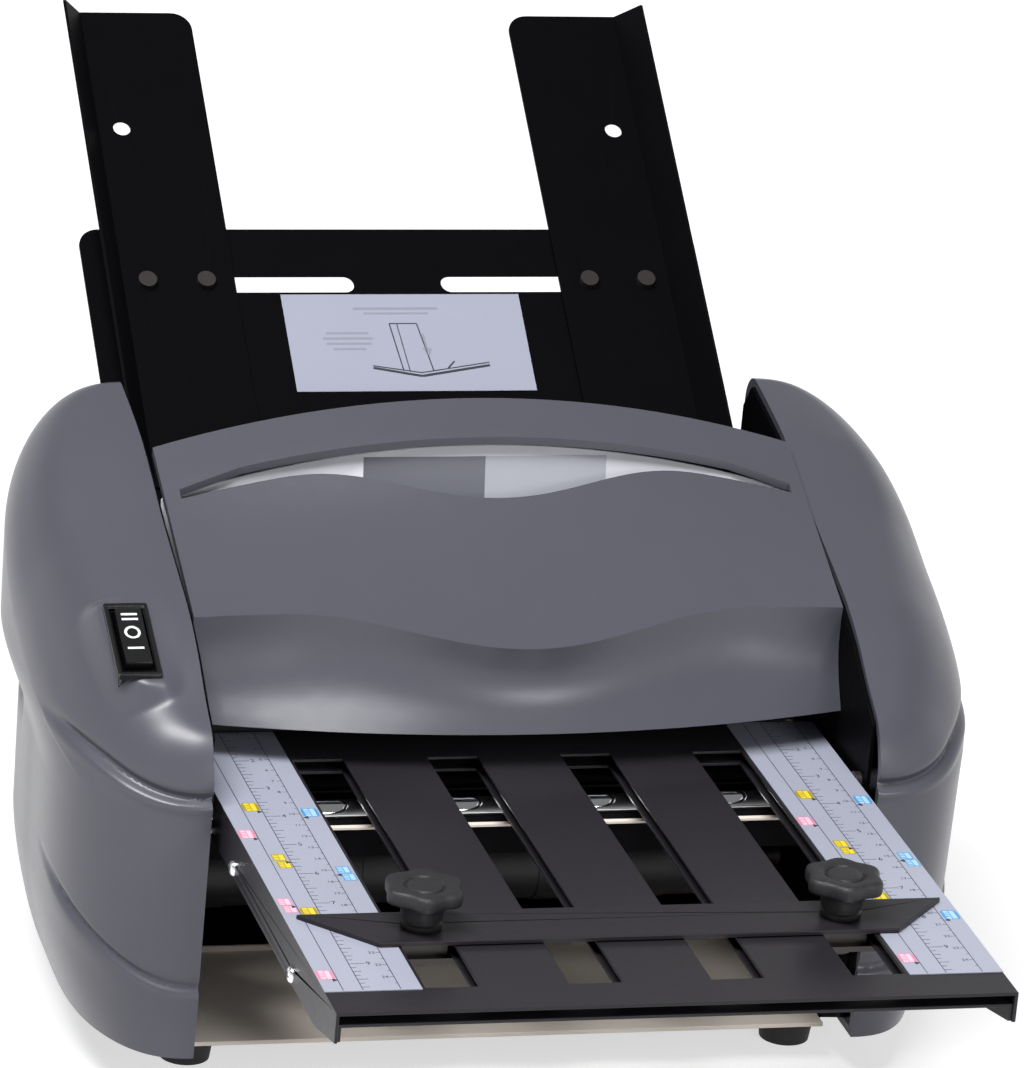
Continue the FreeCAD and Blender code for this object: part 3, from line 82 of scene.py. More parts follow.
def make_camera():
    """A long lens turned towards the machine, tipped about its own axis."""
    level = view_direction.cross(Vector((0, 0, 1))).normalized()
    upright = level.cross(view_direction)
    right = level * math.cos(camera_tip) + upright * math.sin(camera_tip)
    up = right.cross(view_direction)
    data = bpy.data.cameras.new("studio_camera")
    data.sensor_fit = "AUTO"
    data.sensor_width = 36
    data.lens = focal_pixels / picture_height * data.sensor_width
    data.clip_end = 20
    camera = bpy.data.objects.new("studio_camera", data)
    turned = Matrix((right, up, -view_direction)).transposed().to_4x4()
    turned.translation = camera_place
    camera.matrix_world = turned
    bpy.context.scene.collection.objects.link(camera)
    bpy.context.scene.camera = camera
    return camera


camera = make_camera()
print("lens:", round(camera.data.lens, 1), "mm")

# %% [markdown]
# Real finishes are never one flat number. Powder coat has orange peel, moulded plastic has a fine
# spark-eroded grain, and both carry faint changes of tone and gloss. Each finish here is a small
# node tree on Blender's Principled shader: a broad noise tints the colour, a middle one changes the
# gloss, and a fine one drives a bump. Values that are the same all over stay on the shader itself.

# %% A finish from noise, gloss and grain
grain_depth = 0.0003


def add_noise(tree, where, size, detail):
    """A noise of a size and detail, read at a place on the object."""
    noise = tree.nodes.new("ShaderNodeTexNoise")
    noise.inputs["Scale"].default_value = size
    noise.inputs["Detail"].default_value = detail
    tree.links.new(where, noise.inputs["Vector"])
    return noise.outputs["Fac"]


def finish(name, colour, gloss, metal=0.0, tone=0.06, tone_size=60.0, uneven=0.05,
           grain=0.04, grain_size=1400.0, coat=0.0, specular=0.5, stretch=(1, 1, 1)):
    """A material whose colour, roughness and bump all vary a little, sized in metres."""
    material = bpy.data.materials.new(name)
    material.use_nodes = True
    tree = material.node_tree
    shader = tree.nodes["Principled BSDF"]
    shader.inputs["Metallic"].default_value = metal
    shader.inputs["Specular IOR Level"].default_value = specular
    shader.inputs["Coat Weight"].default_value = coat
    where = tree.nodes.new("ShaderNodeTexCoord")
    scaled = tree.nodes.new("ShaderNodeMapping")
    scaled.inputs["Scale"].default_value = stretch
    tree.links.new(where.outputs["Object"], scaled.inputs["Vector"])
    place = scaled.outputs["Vector"]
    tint = tree.nodes.new("ShaderNodeMix")
    tint.data_type = "RGBA"
    tint.inputs["A"].default_value = (*[c * (1 - tone) for c in colour], 1)
    tint.inputs["B"].default_value = (*[min(1, c * (1 + tone)) for c in colour], 1)
    tree.links.new(add_noise(tree, place, tone_size, 4), tint.inputs["Factor"])
    tree.links.new(tint.outputs["Result"], shader.inputs["Base Color"])
    rough = tree.nodes.new("ShaderNodeMapRange")
    rough.inputs["To Min"].default_value = max(0.02, gloss - uneven)
    rough.inputs["To Max"].default_value = min(1.0, gloss + uneven)
    tree.links.new(add_noise(tree, place, tone_size * 5, 3), rough.inputs["Value"])
    tree.links.new(rough.outputs["Result"], shader.inputs["Roughness"])
    bump = tree.nodes.new("ShaderNodeBump")
    bump.inputs["Strength"].default_value = grain
    bump.inputs["Distance"].default_value = grain_depth
    tree.links.new(add_noise(tree, place, grain_size, 2), bump.inputs["Height"])
    tree.links.new(bump.outputs["Normal"], shader.inputs["Normal"])
    return material


moulded_grey = finish("moulded_grey", (0.080, 0.081, 0.102), 0.31, grain=0.03, grain_size=1800, tone=0.03,
                      uneven=0.03)
black_powder = finish("black_powder", (0.0022, 0.0020, 0.0028), 0.5, grain=0.16, grain_size=1100, tone=0.15,
                      specular=0.035)
plate_paint = finish("plate_paint", (0.020, 0.018, 0.022), 0.36, grain=0.10, grain_size=1500, tone=0.05,
                     specular=0.25)
# The beige of the delivery floor and the exit lip is paler than their paint, to make up for the fold plate's
# shadow over them: partly their own colour, partly painted light.
beige_paint_painted_light = finish("beige_paint_painted_light", (0.90, 0.81, 0.72), 0.5, grain=0.06, grain_size=900, tone=0.04)
zinc = finish("zinc", (0.55, 0.56, 0.58), 0.34, metal=1.0, tone=0.14, tone_size=220, uneven=0.1, grain=0.08)
polished_rod = finish("polished_rod", (0.80, 0.81, 0.82), 0.08, metal=1.0, tone=0.04, uneven=0.03, grain=0.01,
                      stretch=(0.05, 1, 1))
# The fold rollers are near black: partly a dark roller finish, partly painted shade, so that the inside seen
# through the fold plate's slots stays dark.
roller_steel = finish("roller_steel", (0.020, 0.020, 0.022), 0.45, metal=0.4, tone=0.12, grain=0.3,
                      grain_size=2600, stretch=(0.3, 1, 1))
black_rubber = finish("black_rubber", (0.016, 0.016, 0.017), 0.72, grain=0.3, grain_size=2200, tone=0.12)
nylon = finish("nylon", (0.72, 0.70, 0.61), 0.42, tone=0.05, grain=0.05)
ruler_film = finish("ruler_film", (0.38, 0.40, 0.49), 0.3, tone=0.03, uneven=0.04, grain=0.02, grain_size=700)
label_film = finish("label_film", (0.34, 0.355, 0.44), 0.32, tone=0.02, grain=0.02, grain_size=700)
# The feed ramp's pale grey is raised past its own tone, to make up for the top cover's shadow over it: partly
# its own colour, partly painted light.
ramp_pale = finish("ramp_pale", (0.82, 0.83, 0.89), 0.4, tone=0.03, grain=0.08)
dull_screw = finish("dull_screw", (0.050, 0.043, 0.042), 0.4, metal=0.6, tone=0.15, tone_size=400)
knob_black = finish("knob_black", (0.016, 0.015, 0.017), 0.46, grain=0.6, grain_size=2400, tone=0.2,
                    tone_size=700)
switch_black = finish("switch_black", (0.008, 0.008, 0.009), 0.26, grain=0.08, grain_size=2600, tone=0.1)
bronze = finish("bronze", (0.42, 0.27, 0.12), 0.38, metal=1.0, tone=0.15, grain=0.08)
motor_paint = finish("motor_paint", (0.05, 0.05, 0.055), 0.4, grain=0.12, tone=0.08)
circuit_green = finish("circuit_green", (0.02, 0.14, 0.06), 0.3, coat=0.4, tone=0.1, tone_size=400)
print("finishes:", len(bpy.data.materials))

# %% [markdown]
# Most solids already have the right shape, so they keep their mesh and only change their finish.
# A drawing has knife-sharp edges, though, and nothing real does. A weld and a narrow bevel, both as
# modifiers, leave the CAD mesh alone and give each folded sheet an edge that catches the light.

# %% Finish for each CAD node
finish_of = {
    moulded_grey: ["left_side_cover", "right_side_cover", "top_cover", "cover_posts", "rear_cover"],
    black_powder: ["feed_tray", "left_paper_guide", "right_paper_guide", "left_side_frame",
                   "right_side_frame", "cross_channels", "base_plate", "retard_block",
                   # The cross rods get this black partly as painted shade, so that the inside seen through
                   # the fold plate's slots stays dark.
                   "rear_plate_lower", "rear_plate_upper", "rear_stop", "cross_rods"],
    plate_paint: ["upper_fold_plate", "lower_fold_plate", "stop_bar"],
    beige_paint_painted_light: ["delivery_floor", "exit_lip"],
    zinc: ["flange_screws"],
    dull_screw: ["left_guide_screws", "right_guide_screws", "frame_screws", "clamp_plates", "clamp_bolts"],
    polished_rod: ["table_rest_rod", "feed_shaft"],
    roller_steel: ["fold_roller_1", "fold_roller_2", "fold_roller_3", "fold_roller_4"],
    black_rubber: ["rubber_feet", "feed_tyres", "drive_belt", "retard_pad"],
    nylon: ["idler_gear", "feed_gear", "roller_gear_1", "roller_gear_2", "roller_gear_3",
            "roller_gear_4", "driven_pulley", "motor_pulley"],
    ruler_film: ["left_ruler_strip", "right_ruler_strip"],
    label_film: ["tray_label", "ramp_label"],
    ramp_pale: ["manual_feed_ramp"],
    knob_black: ["left_clamp_knob", "right_clamp_knob"],
    switch_black: ["switch_bezel", "rocker", "mains_inlet"],
    bronze: ["left_bushes", "right_bushes"],
    motor_paint: ["motor"],
    circuit_green: ["control_board"],
}
soft_edge = {
    "feed_tray": 0.35, "left_paper_guide": 0.35, "right_paper_guide": 0.35, "upper_fold_plate": 0.35,
    "lower_fold_plate": 0.3, "stop_bar": 0.4, "delivery_floor": 0.3, "switch_bezel": 0.9,
    "manual_feed_ramp": 0.3, "rear_cover": 0.6, "rocker": 0.4, "left_side_frame": 0.3,
    "right_side_frame": 0.3,
}
weld_reach = 0.00002
bevel_angle = 40


def dress(node, material):
    """Give every face of a CAD node one finish."""
    mesh = nodes[node].data
    mesh.materials.clear()
    mesh.materials.append(material)


def soften(node, width):
    """Round a CAD node's edges by a width in millimetres, without touching its mesh."""
    weld = nodes[node].modifiers.new("weld", "WELD")
    weld.merge_threshold = weld_reach
    bevel = nodes[node].modifiers.new("bevel", "BEVEL")
    bevel.width = width / 1000
    bevel.segments = 2
    bevel.limit_method = "ANGLE"
    bevel.angle_limit = math.radians(bevel_angle)
    bevel.harden_normals = True


for material, names in finish_of.items():
    for name in names:
        dress(name, material)
for name, width in soft_edge.items():
    soften(name, width)
undressed = sorted(set(nodes) - {name for names in finish_of.values() for name in names})
print("nodes left without a finish:", undressed)

# %% [markdown]
# The side covers are the machine's face: tall moulded shells whose top rolls over into the side,
# with a waist behind and two moulded lines round the front, where the cap overhangs the wall and
# the wall overhangs the foot. A sculpted box would need many edge loops to hold that, so the skin
# is laid out as a grid instead: stations run round the outline in plan, and steps climb the wall,
# turn over the shoulder and cross the top to the inner edge. It repeats the CAD's own outline, so
# it lies on the solid that it stands for, with the moulded lines and the finger hollow added.
# The values are the CAD's own, in millimetres, with a second one where the rear half differs.

# %% The covers' outline
cover_inner = 125.4
cover_reach = 52.6
cover_front = 94.0
cover_rear = 106.0
cover_widest = 10.0
cover_bottom = 22.0
cover_wall = 3.0
nose_height = 138.0
crest_height = 214.0
outline_power = 0.8
outline_rear_power = 0.72
roll_front_share, roll_rear_share = 0.68, 0.42
roll_front_drop, roll_rear_drop = 34.0, 26.0
roll_end = 11.0
roll_end_drop = 12.0
behind_fade = 1.9
behind_start_share = 0.16
wall_draft = 3.0
top_crown_drop = 13.0
tuck_depth, tuck_rear_depth = 10.5, 6.5
tuck_top, tuck_rear_top = 66.0, 58.0
tuck_power = 1.5
waist_depth = 9.0
waist_top = 138.0
waist_fade = 29.0
top_edge_shares = [(0.0, 0.0), (0.05, 0.105), (0.115, 0.204), (0.205, 0.362), (0.29, 0.471),
                   (0.385, 0.553), (0.5425, 0.684), (0.67, 0.816), (0.77, 0.901), (0.945, 0.991), (1.0, 1.0)]


def smooth_step(value):
    """0 below 0, 1 above 1, and an even ease between."""
    value = max(0.0, min(1.0, value))
    return value * value * (3 - 2 * value)


def through_points(places, at):
    """A smooth curve through (place, height) pairs, read at one place."""
    if at <= places[0][0]:
        return places[0][1]
    if at >= places[-1][0]:
        return places[-1][1]
    index = max(i for i in range(len(places) - 1) if places[i][0] <= at)

    def slope(i):
        low, high = max(0, i - 1), min(len(places) - 1, i + 1)
        return (places[high][1] - places[low][1]) / (places[high][0] - places[low][0])

    start, end = places[index], places[index + 1]
    length = end[0] - start[0]
    share = (at - start[0]) / length
    ease = share * share * (3 - 2 * share)
    enter = share * (1 - share) ** 2 * length * slope(index)
    leave = share ** 2 * (1 - share) * length * slope(index + 1)
    return start[1] + (end[1] - start[1]) * ease + enter - leave


top_edge = [(-cover_front + along * (cover_front + cover_rear),
             nose_height + up * (crest_height - nose_height)) for along, up in top_edge_shares]


def cover_outline(angle, inset, side_inset):
    """A place on the outline in plan. Angle 0 is the front inner corner, pi the rear one."""
    cosine = math.cos(angle)
    power = outline_power + (outline_rear_power - outline_power) * smooth_step((1 - cosine) / 2)
    x = cover_inner + (cover_reach - inset - side_inset) * max(0.0, math.sin(angle)) ** power
    length = cover_front + cover_widest if cosine > 0 else cover_rear - cover_widest
    return x, cover_widest - math.copysign(abs(cosine) ** power, cosine) * (length - inset)


print("top edge rises from", nose_height, "to", crest_height, "mm")

# %% [markdown]
# Each moulded line is a soft groove over a low bead, so it is drawn as a push inwards that depends
# only on how far a point lies above or below the line. The groove falls dark and the bead catches
# the light. Both lines climb towards the side and fade out there. A shallow finger hollow in the
# side, for lifting the machine, is pushed in the same way. How far round the cover a place lies is
# given as a share of the turn from the front inner corner to the rear one.

# %% The covers' moulded lines
# Each line's height at the front, its climb, the share of the turn over which it climbs and the
# fade's share, then its groove as (depth, width above, width below) and its bead as
# (swell, distance below the line, width above, width below)
moulded_lines = [
    (123, 12, 0.42, 0.14, (2.6, 3.0, 1.3), (0.5, 3.4, 1.4, 1.8)),
    (50, 30, 0.5, 0.16, (1.3, 2.2, 1.4), (0.8, 3.6, 1.8, 9.0)),
]
line_fade_start = 0.30
hollow_depth = 2.2
hollow_turn, hollow_half_turn = 0.60, 0.035
hollow_height, hollow_half_height = 112, 11


def dent(distance, above_width, below_width):
    """A smooth dent: 1 on the line, fading over one width above it and another below."""
    return math.exp(-(distance / (above_width if distance > 0 else below_width)) ** 2)


def line_push(angle, z):
    """How far the moulded lines and the finger hollow draw the wall in, in millimetres."""
    turn = angle / math.pi
    push = 0.0
    for height, climb, climb_share, fade_share, groove, bead in moulded_lines:
        above = z - (height + climb * smooth_step(turn / climb_share))
        depth, groove_above, groove_below = groove
        swell, lower, bead_above, bead_below = bead
        relief = depth * dent(above, groove_above, groove_below)
        relief -= swell * dent(above + lower, bead_above, bead_below)
        push += (1 - smooth_step((turn - line_fade_start) / fade_share)) * relief
    across = (turn - hollow_turn) / hollow_half_turn
    up = (z - hollow_height) / hollow_half_height
    return push + hollow_depth * math.exp(-across ** 4 - up ** 4)


def pushed(angle, x, y, z):
    """The same point drawn in, square to the outline, by the lines and the hollow."""
    step = 0.01
    before = cover_outline(max(0.0, angle - step), 0.0, 0.0)
    after = cover_outline(min(math.pi, angle + step), 0.0, 0.0)
    along = Vector((after[0] - before[0], after[1] - before[1])).normalized()
    push = line_push(angle, z)
    return x - along.y * push, y + along.x * push, z


print("moulded lines at the front:", [line[0] for line in moulded_lines], "mm up")

# %% [markdown]
# One function gives every point of a cover. It takes the place round the outline as an angle, and
# the place up the skin as a climb: 0 to 1 on the wall, 1 to 2 over the shoulder, 2 to 3 across the
# top. With an inset it gives the lining instead, which has no moulded lines.

# %% The covers' skin
lines_end = 1.6


def cover_spot(angle, climb, inset, low):
    """A point of the skin, or of the lining where it is inset."""
    cosine = math.cos(angle)
    rim_x, rim_y = cover_outline(angle, inset, 0.0)
    edge_blend = max(0.0, math.sin(angle)) ** outline_power
    behind = smooth_step((1 - cosine) / 2 * behind_fade - (behind_fade - 1) / 2 + behind_start_share)
    roll_share = roll_front_share + (roll_rear_share - roll_front_share) * behind
    side_drop = roll_front_drop + (roll_rear_drop - roll_front_drop) * behind
    drop = roll_end_drop + (side_drop - roll_end_drop) * edge_blend
    crown = top_crown_drop * ((rim_x - cover_inner) / cover_reach) ** 2
    shoulder = through_points(top_edge, rim_y) - inset - crown - drop
    if climb <= 1:
        z = low + (shoulder - low) * climb
        start = tuck_top + (tuck_rear_top - tuck_top) * behind
        depth = tuck_depth + (tuck_rear_depth - tuck_depth) * behind
        tuck = depth * max(0.0, (start - z) / (start - cover_bottom)) ** tuck_power
        waist = waist_depth * behind * smooth_step((waist_top - z) / waist_fade)
        draft = wall_draft * (shoulder - z) / (shoulder - low)
        x, y = cover_outline(angle, inset, tuck + waist + draft)
        return pushed(angle, x, y, z) if inset == 0 else (x, y, z)
    end_length = cover_front + cover_widest if cosine > 0 else cover_rear - cover_widest
    end_y = cover_widest - cosine * (end_length - inset - roll_end / roll_share)
    if climb <= 2:
        turn = math.pi / 2 * (climb - 1)
        share = roll_share * (1 - math.cos(turn))
        fall = drop * (1 - math.sin(turn))
    else:
        share = roll_share + (1 - roll_share) * (climb - 2)
        fall = 0.0
    x = rim_x + (cover_inner - rim_x) * share
    y = rim_y + (end_y - rim_y) * share
    crown = top_crown_drop * ((x - cover_inner) / cover_reach) ** 2
    z = through_points(top_edge, y) - inset - crown - fall
    return pushed(angle, x, y, z) if inset == 0 and climb < lines_end else (x, y, z)


def even_climbs(low, high, count):
    """Even climbs between two values."""
    return [low + (high - low) * index / count for index in range(count)]


outer_climbs = even_climbs(0, 1, 110) + even_climbs(1, 2, 76) + even_climbs(2, 3, 10) + [3]
inner_climbs = even_climbs(0, 1, 24) + even_climbs(1, 2, 10) + even_climbs(2, 3, 4) + [3]
turn_stations = 150
turn_angles = [math.pi * (index / turn_stations) for index in range(turn_stations + 1)]
lining_skip = 3
print("skin grid:", len(turn_angles), "by", len(outer_climbs))

# %% [markdown]
# Several pieces are made in the same few moves, so each move is a helper: a bmesh becomes an object,
# rings of points become a closed skin, and a Boolean cuts one closed mesh out of another. The
# Boolean's result is kept as plain mesh at once, so that later steps find real faces to work on.

# %% Helpers for closed meshes
def as_object(name, mesh):
    """Turn a bmesh into an object of the scene."""
    data = bpy.data.meshes.new(name)
    mesh.to_mesh(data)
    mesh.free()
    piece = bpy.data.objects.new(name, data)
    bpy.context.scene.collection.objects.link(piece)
    return piece


def join_rings(mesh, rings):
    """Join rings of equal count into a closed skin with a flat face at each end."""
    count = len(rings[0])
    for below, above in zip(rings, rings[1:]):
        for step in range(count):
            follow = (step + 1) % count
            mesh.faces.new((below[step], below[follow], above[follow], above[step]))
    mesh.faces.new(rings[-1])
    mesh.faces.new(rings[0][::-1])


def keep_evaluated(piece):
    """Turn a piece's modifiers into plain mesh."""
    view = bpy.context.evaluated_depsgraph_get()
    made = bpy.data.meshes.new_from_object(piece.evaluated_get(view))
    old = piece.data
    piece.modifiers.clear()
    piece.data = made
    bpy.data.meshes.remove(old)


def cut_away(piece, mesh):
    """Cut a closed bmesh out of a piece."""
    bmesh.ops.recalc_face_normals(mesh, faces=mesh.faces)
    tool = as_object("cutting_tool", mesh)
    cut = piece.modifiers.new("cut", "BOOLEAN")
    cut.operation = "DIFFERENCE"
    cut.solver = "EXACT"
    cut.object = tool
    keep_evaluated(piece)
    tool_mesh = tool.data
    bpy.data.objects.remove(tool)
    bpy.data.meshes.remove(tool_mesh)


def shade(piece, angle):
    """Smooth shading, kept sharp over edges that turn by more than an angle in degrees."""
    mesh = piece.data
    mesh.shade_smooth()
    mesh.set_sharp_from_angle(angle=math.radians(angle))


print("meshes before the first new piece:", len(bpy.data.meshes))

# %% [markdown]
# A skin alone would be a sheet with no thickness. The lining is a second grid, one wall inside, and
# three strips close the form: the floor, the lining's floor and the flat rim that seats on the side
# frame. The result is one closed mesh, so a Boolean can cut the switch's window out of it cleanly.

# %% The covers as closed shells
def lay_grid(mesh, angles, climbs, side, inset, low):
    """One skin as rows of vertices and quads."""
    rows = []
    for angle in angles:
        row = []
        for climb in climbs:
            x, y, z = cover_spot(angle, climb, inset, low)
            if angle in (angles[0], angles[-1]) or climb == climbs[-1]:
                x = cover_inner
            row.append(mesh.verts.new(spot(side * x, y, z)))
        rows.append(row)
    for left, right in zip(rows, rows[1:]):
        for index in range(len(climbs) - 1):
            mesh.faces.new((left[index], right[index], right[index + 1], left[index + 1]))
    return rows


def inner_edge(rows):
    """The skin's edge on the inner plane, from the front foot over the top to the rear foot."""
    return rows[0] + [row[-1] for row in rows[1:-1]] + rows[-1][::-1]


def make_side_cover(name, side):
    """A closed shell for one side."""
    mesh = bmesh.new()
    skin = lay_grid(mesh, turn_angles, outer_climbs, side, 0.0, cover_bottom)
    lining = lay_grid(mesh, turn_angles[::lining_skip], inner_climbs, side, cover_wall,
                      cover_bottom + cover_wall)
    floor = mesh.faces.new([row[0] for row in skin])
    lining_floor = mesh.faces.new([row[0] for row in lining])
    bmesh.ops.triangulate(mesh, faces=[floor, lining_floor])
    outer = inner_edge(skin)
    inner = inner_edge(lining)
    rim_edges = [mesh.edges.get(pair) for pair in zip(outer, outer[1:])]
    rim_edges += [mesh.edges.get(pair) for pair in zip(inner, inner[1:])]
    rim_edges += [mesh.edges.get((outer[0], outer[-1])), mesh.edges.get((inner[0], inner[-1]))]
    bmesh.ops.triangle_fill(mesh, edges=[edge for edge in rim_edges if edge], use_beauty=True)
    bmesh.ops.recalc_face_normals(mesh, faces=mesh.faces)
    cover = as_object(name, mesh)
    cover.data.materials.append(moulded_grey)
    return cover


print("lining grid:", len(turn_angles[::lining_skip]), "by", len(inner_climbs))

# %% [markdown]
# The switch sits in the left cover's top, tipped towards the user. Its bezel is flat and the cover
# is curved, so a real moulding has a flat seat there. The seat is made by moving the skin's own
# points onto the bezel's plane, all the way under it and less and less round it. Then the window is
# cut, for the switch's body to pass through.

# %% The switch's seat and window
switch_middle = (-148.6, -49.0, 167.0)
switch_tilt = math.radians(24)
seat_half = (8.6, 18.3)
seat_fade = 9
seat_level = -0.4
seat_lowest, seat_highest = -13, 4
seat_low_fade = 8
window_half = (6.7, 16.4)
window_reach = (-17, 6)


def on_switch(across, along, up):
    """A place on the left cover's top, in millimetres about the switch's middle."""
    y = along * math.cos(switch_tilt) - up * math.sin(switch_tilt)
    z = along * math.sin(switch_tilt) + up * math.cos(switch_tilt)
    return spot(switch_middle[0] + across, switch_middle[1] + y, switch_middle[2] + z)


def press_pad(cover):
    """Flatten the skin into a seat under the bezel, fading out round it."""
    origin = on_switch(0, 0, 0)
    along_axis = (on_switch(0, 1, 0) - origin).normalized()
    up_axis = (on_switch(0, 0, 1) - origin).normalized()
    skin_count = len(turn_angles) * len(outer_climbs)
    for vertex in cover.data.vertices[:skin_count]:
        offset = (vertex.co - origin) * 1000
        along, up = offset.dot(along_axis), offset.dot(up_axis)
        beyond = math.hypot(max(0.0, abs(offset.x) - seat_half[0]), max(0.0, abs(along) - seat_half[1]))
        if beyond < seat_fade and seat_lowest < up < seat_highest:
            share = smooth_step(1 - beyond / seat_fade) * smooth_step((up - seat_lowest) / seat_low_fade)
            vertex.co += up_axis * (seat_level - up) * share / 1000


right_cover = make_side_cover("right_cover_shell", 1)
left_cover = make_side_cover("left_cover_shell", -1)
press_pad(left_cover)
window = bmesh.new()
window_corners = [(across * window_half[0], along * window_half[1])
                  for across, along in ((-1, -1), (1, -1), (1, 1), (-1, 1))]
join_rings(window, [[window.verts.new(on_switch(*corner, up)) for corner in window_corners]
                    for up in window_reach])
cut_away(left_cover, window)
for cover, node in ((left_cover, "left_side_cover"), (right_cover, "right_side_cover")):
    shade(cover, 35)
    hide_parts(node)
    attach(cover, "chassis")
    print(cover.name, "faces:", len(cover.data.polygons))

# %% [markdown]
# Thin prints, legends and labels have to lie exactly on what carries them. Typing their heights by
# hand would leave them floating or sunk, so a flat piece's largest face is measured instead: it
# gives a middle, a direction across the machine, one up the slope and one square to the face.

# %% A flat face as a drawing board
face_slack = 0.00003
ink_height = 0.04


def top_board(node):
    """Middle, across, along and up of a flat piece's largest upward face."""
    mesh = nodes[node].data
    best = max(mesh.polygons, key=lambda face: face.area if face.normal.z > 0.1 else 0)
    up = best.normal.copy()
    corners = [v.co for v in mesh.vertices if abs((v.co - best.center).dot(up)) < face_slack]
    across = Vector((0, up.z, -up.y)).cross(up).normalized()
    along = up.cross(across)
    middle = best.center.copy()
    for axis in (across, along):
        reach = [corner.dot(axis) for corner in corners]
        middle += axis * ((max(reach) + min(reach)) / 2 - middle.dot(axis))
    return middle, across, along, up


def board_place(board, u, v, w):
    """A place on a drawing board in millimetres: across, along the slope and above it."""
    middle, across, along, up = board
    return middle + (across * u + along * v + up * w) / 1000


def add_piece(name, mesh, material, body="chassis"):
    """Turn a bmesh into a piece that rides on a body."""
    piece = as_object(name, mesh)
    piece.data.materials.append(material)
    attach(piece, body)
    return piece


def print_shapes(name, shapes, place, material, thickness=ink_height):
    """Ink on a face: flat outlines in millimetres with a hair of thickness."""
    mesh = bmesh.new()
    for outline in shapes:
        join_rings(mesh, [[mesh.verts.new(place(u, v, w)) for u, v in outline] for w in (0.0, thickness)])
    bmesh.ops.recalc_face_normals(mesh, faces=mesh.faces)
    return add_piece(name, mesh, material)


def bar_shape(u, v, wide, tall):
    """A rectangle about its middle."""
    return [(u - wide / 2, v - tall / 2), (u + wide / 2, v - tall / 2),
            (u + wide / 2, v + tall / 2), (u - wide / 2, v + tall / 2)]


def stroke(start, end, thick):
    """A straight pen stroke between two places."""
    run = Vector(end) - Vector(start)
    side = Vector((-run.y, run.x)).normalized() * thick / 2
    return [tuple(Vector(start) - side), tuple(Vector(end) - side), tuple(Vector(end) + side),
            tuple(Vector(start) + side)]


def frame_strokes(u, v, wide, tall, thick):
    """Four strokes round a rectangle."""
    aside, above = (wide - thick) / 2, (tall - thick) / 2
    return [bar_shape(u, v - above, wide, thick), bar_shape(u, v + above, wide, thick),
            bar_shape(u - aside, v, thick, tall - 2 * thick),
            bar_shape(u + aside, v, thick, tall - 2 * thick)]


ink_dark = finish("ink_dark", (0.035, 0.037, 0.05), 0.4, tone=0.2, tone_size=900)
ink_grey = finish("ink_grey", (0.26, 0.27, 0.33), 0.4, tone=0.1, tone_size=900)
ink_pink = finish("ink_pink", (0.74, 0.24, 0.38), 0.4, tone=0.08, tone_size=900)
ink_yellow = finish("ink_yellow", (0.38, 0.29, 0.02), 0.4, tone=0.08, tone_size=900)
ink_blue = finish("ink_blue", (0.08, 0.30, 0.60), 0.4, tone=0.08, tone_size=900)
legend_white = finish("legend_white", (0.80, 0.84, 0.83), 0.45, tone=0.03, tone_size=900)
print("tray label slopes", round(math.degrees(math.acos(top_board("tray_label")[3].z)), 1), "degrees")

# %% [markdown]
# The two ruler strips are printed plastic film. Reading across, there is a column of pink fold
# signs, one of yellow signs, the scale itself with inches at its left and centimetres at its right,
# and a column of blue signs. The scales count from the fold nip, so each mark's place is its value.
# Image textures are the usual way to print. Real geometry stays sharp from any distance instead,
# and goes with the model wherever it is used.

# %% Lines and marks of the rulers
strip_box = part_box("left_ruler_strip")
strip_wide = (strip_box[1].x - strip_box[0].x) * 1000
strip_level = strip_box[1].z * 1000
strip_lefts = {side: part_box(side + "_ruler_strip")[0].x * 1000 for side in ("left", "right")}
column_lines = [6.6, 13.5, 26.7]
strip_run = (24.6, 249.9)
inch = 25.4
centimetre = 10.0
eighth_ticks = [(8, 5.6), (4, 3.9), (2, 2.9), (1, 2.0)]
half_ticks = [(2, 1.7), (1, 1.0)]


def strip_place(side):
    """Places on a strip: across from its left edge, and down from the nip towards the user."""
    left = strip_lefts[side]
    return lambda u, v, w: spot(left + u, -v, strip_level + w)


def tick_length(number, ticks):
    """The length of a numbered tick: the first of the ticks whose step divides its number."""
    return next(length for step, length in ticks if number % step == 0)


def ruler_marks():
    """Column lines, inch ticks by eighths and centimetre ticks by halves."""
    low, high = strip_run
    shapes = [bar_shape(u, (low + high) / 2, 0.28, high - low) for u in column_lines]
    for eighth in range(8, 79):
        length = tick_length(eighth, eighth_ticks)
        shapes.append(bar_shape(column_lines[1] + length / 2, eighth * inch / 8, length, 0.26))
    for half in range(5, 50):
        length = tick_length(half, half_ticks)
        shapes.append(bar_shape(column_lines[2] - length / 2, half * centimetre / 2, length, 0.2))
    return shapes


for side in strip_lefts:
    print_shapes(side + "_ruler_marks", ruler_marks(), strip_place(side), ink_dark)
print("strip is", round(strip_wide, 1), "mm wide, its top at", round(strip_level, 2))

# %% [markdown]
# The numbers are Blender text objects in the built-in font, turned into mesh and laid on the film.
# Text gives true digit shapes for nothing, and as mesh they need no font file later.

# %% Numbers of the rulers
inch_digits = (20.4, 3.6)
centimetre_digits = (23.6, 2.5)


def digits_mesh(text, size):
    """Flat mesh of a number, centred on its own origin, as (places, faces) in millimetres."""
    curve = bpy.data.curves.new("digits", "FONT")
    curve.body = text
    curve.size = size
    curve.align_x = "CENTER"
    curve.align_y = "CENTER"
    curve.resolution_u = 2
    helper = bpy.data.objects.new("digits", curve)
    bpy.context.scene.collection.objects.link(helper)
    view = bpy.context.evaluated_depsgraph_get()
    flat = bpy.data.meshes.new_from_object(helper.evaluated_get(view))
    places = [(v.co.x, v.co.y) for v in flat.vertices]
    faces = [tuple(face.vertices) for face in flat.polygons]
    bpy.data.objects.remove(helper)
    bpy.data.curves.remove(curve)
    bpy.data.meshes.remove(flat)
    return places, faces


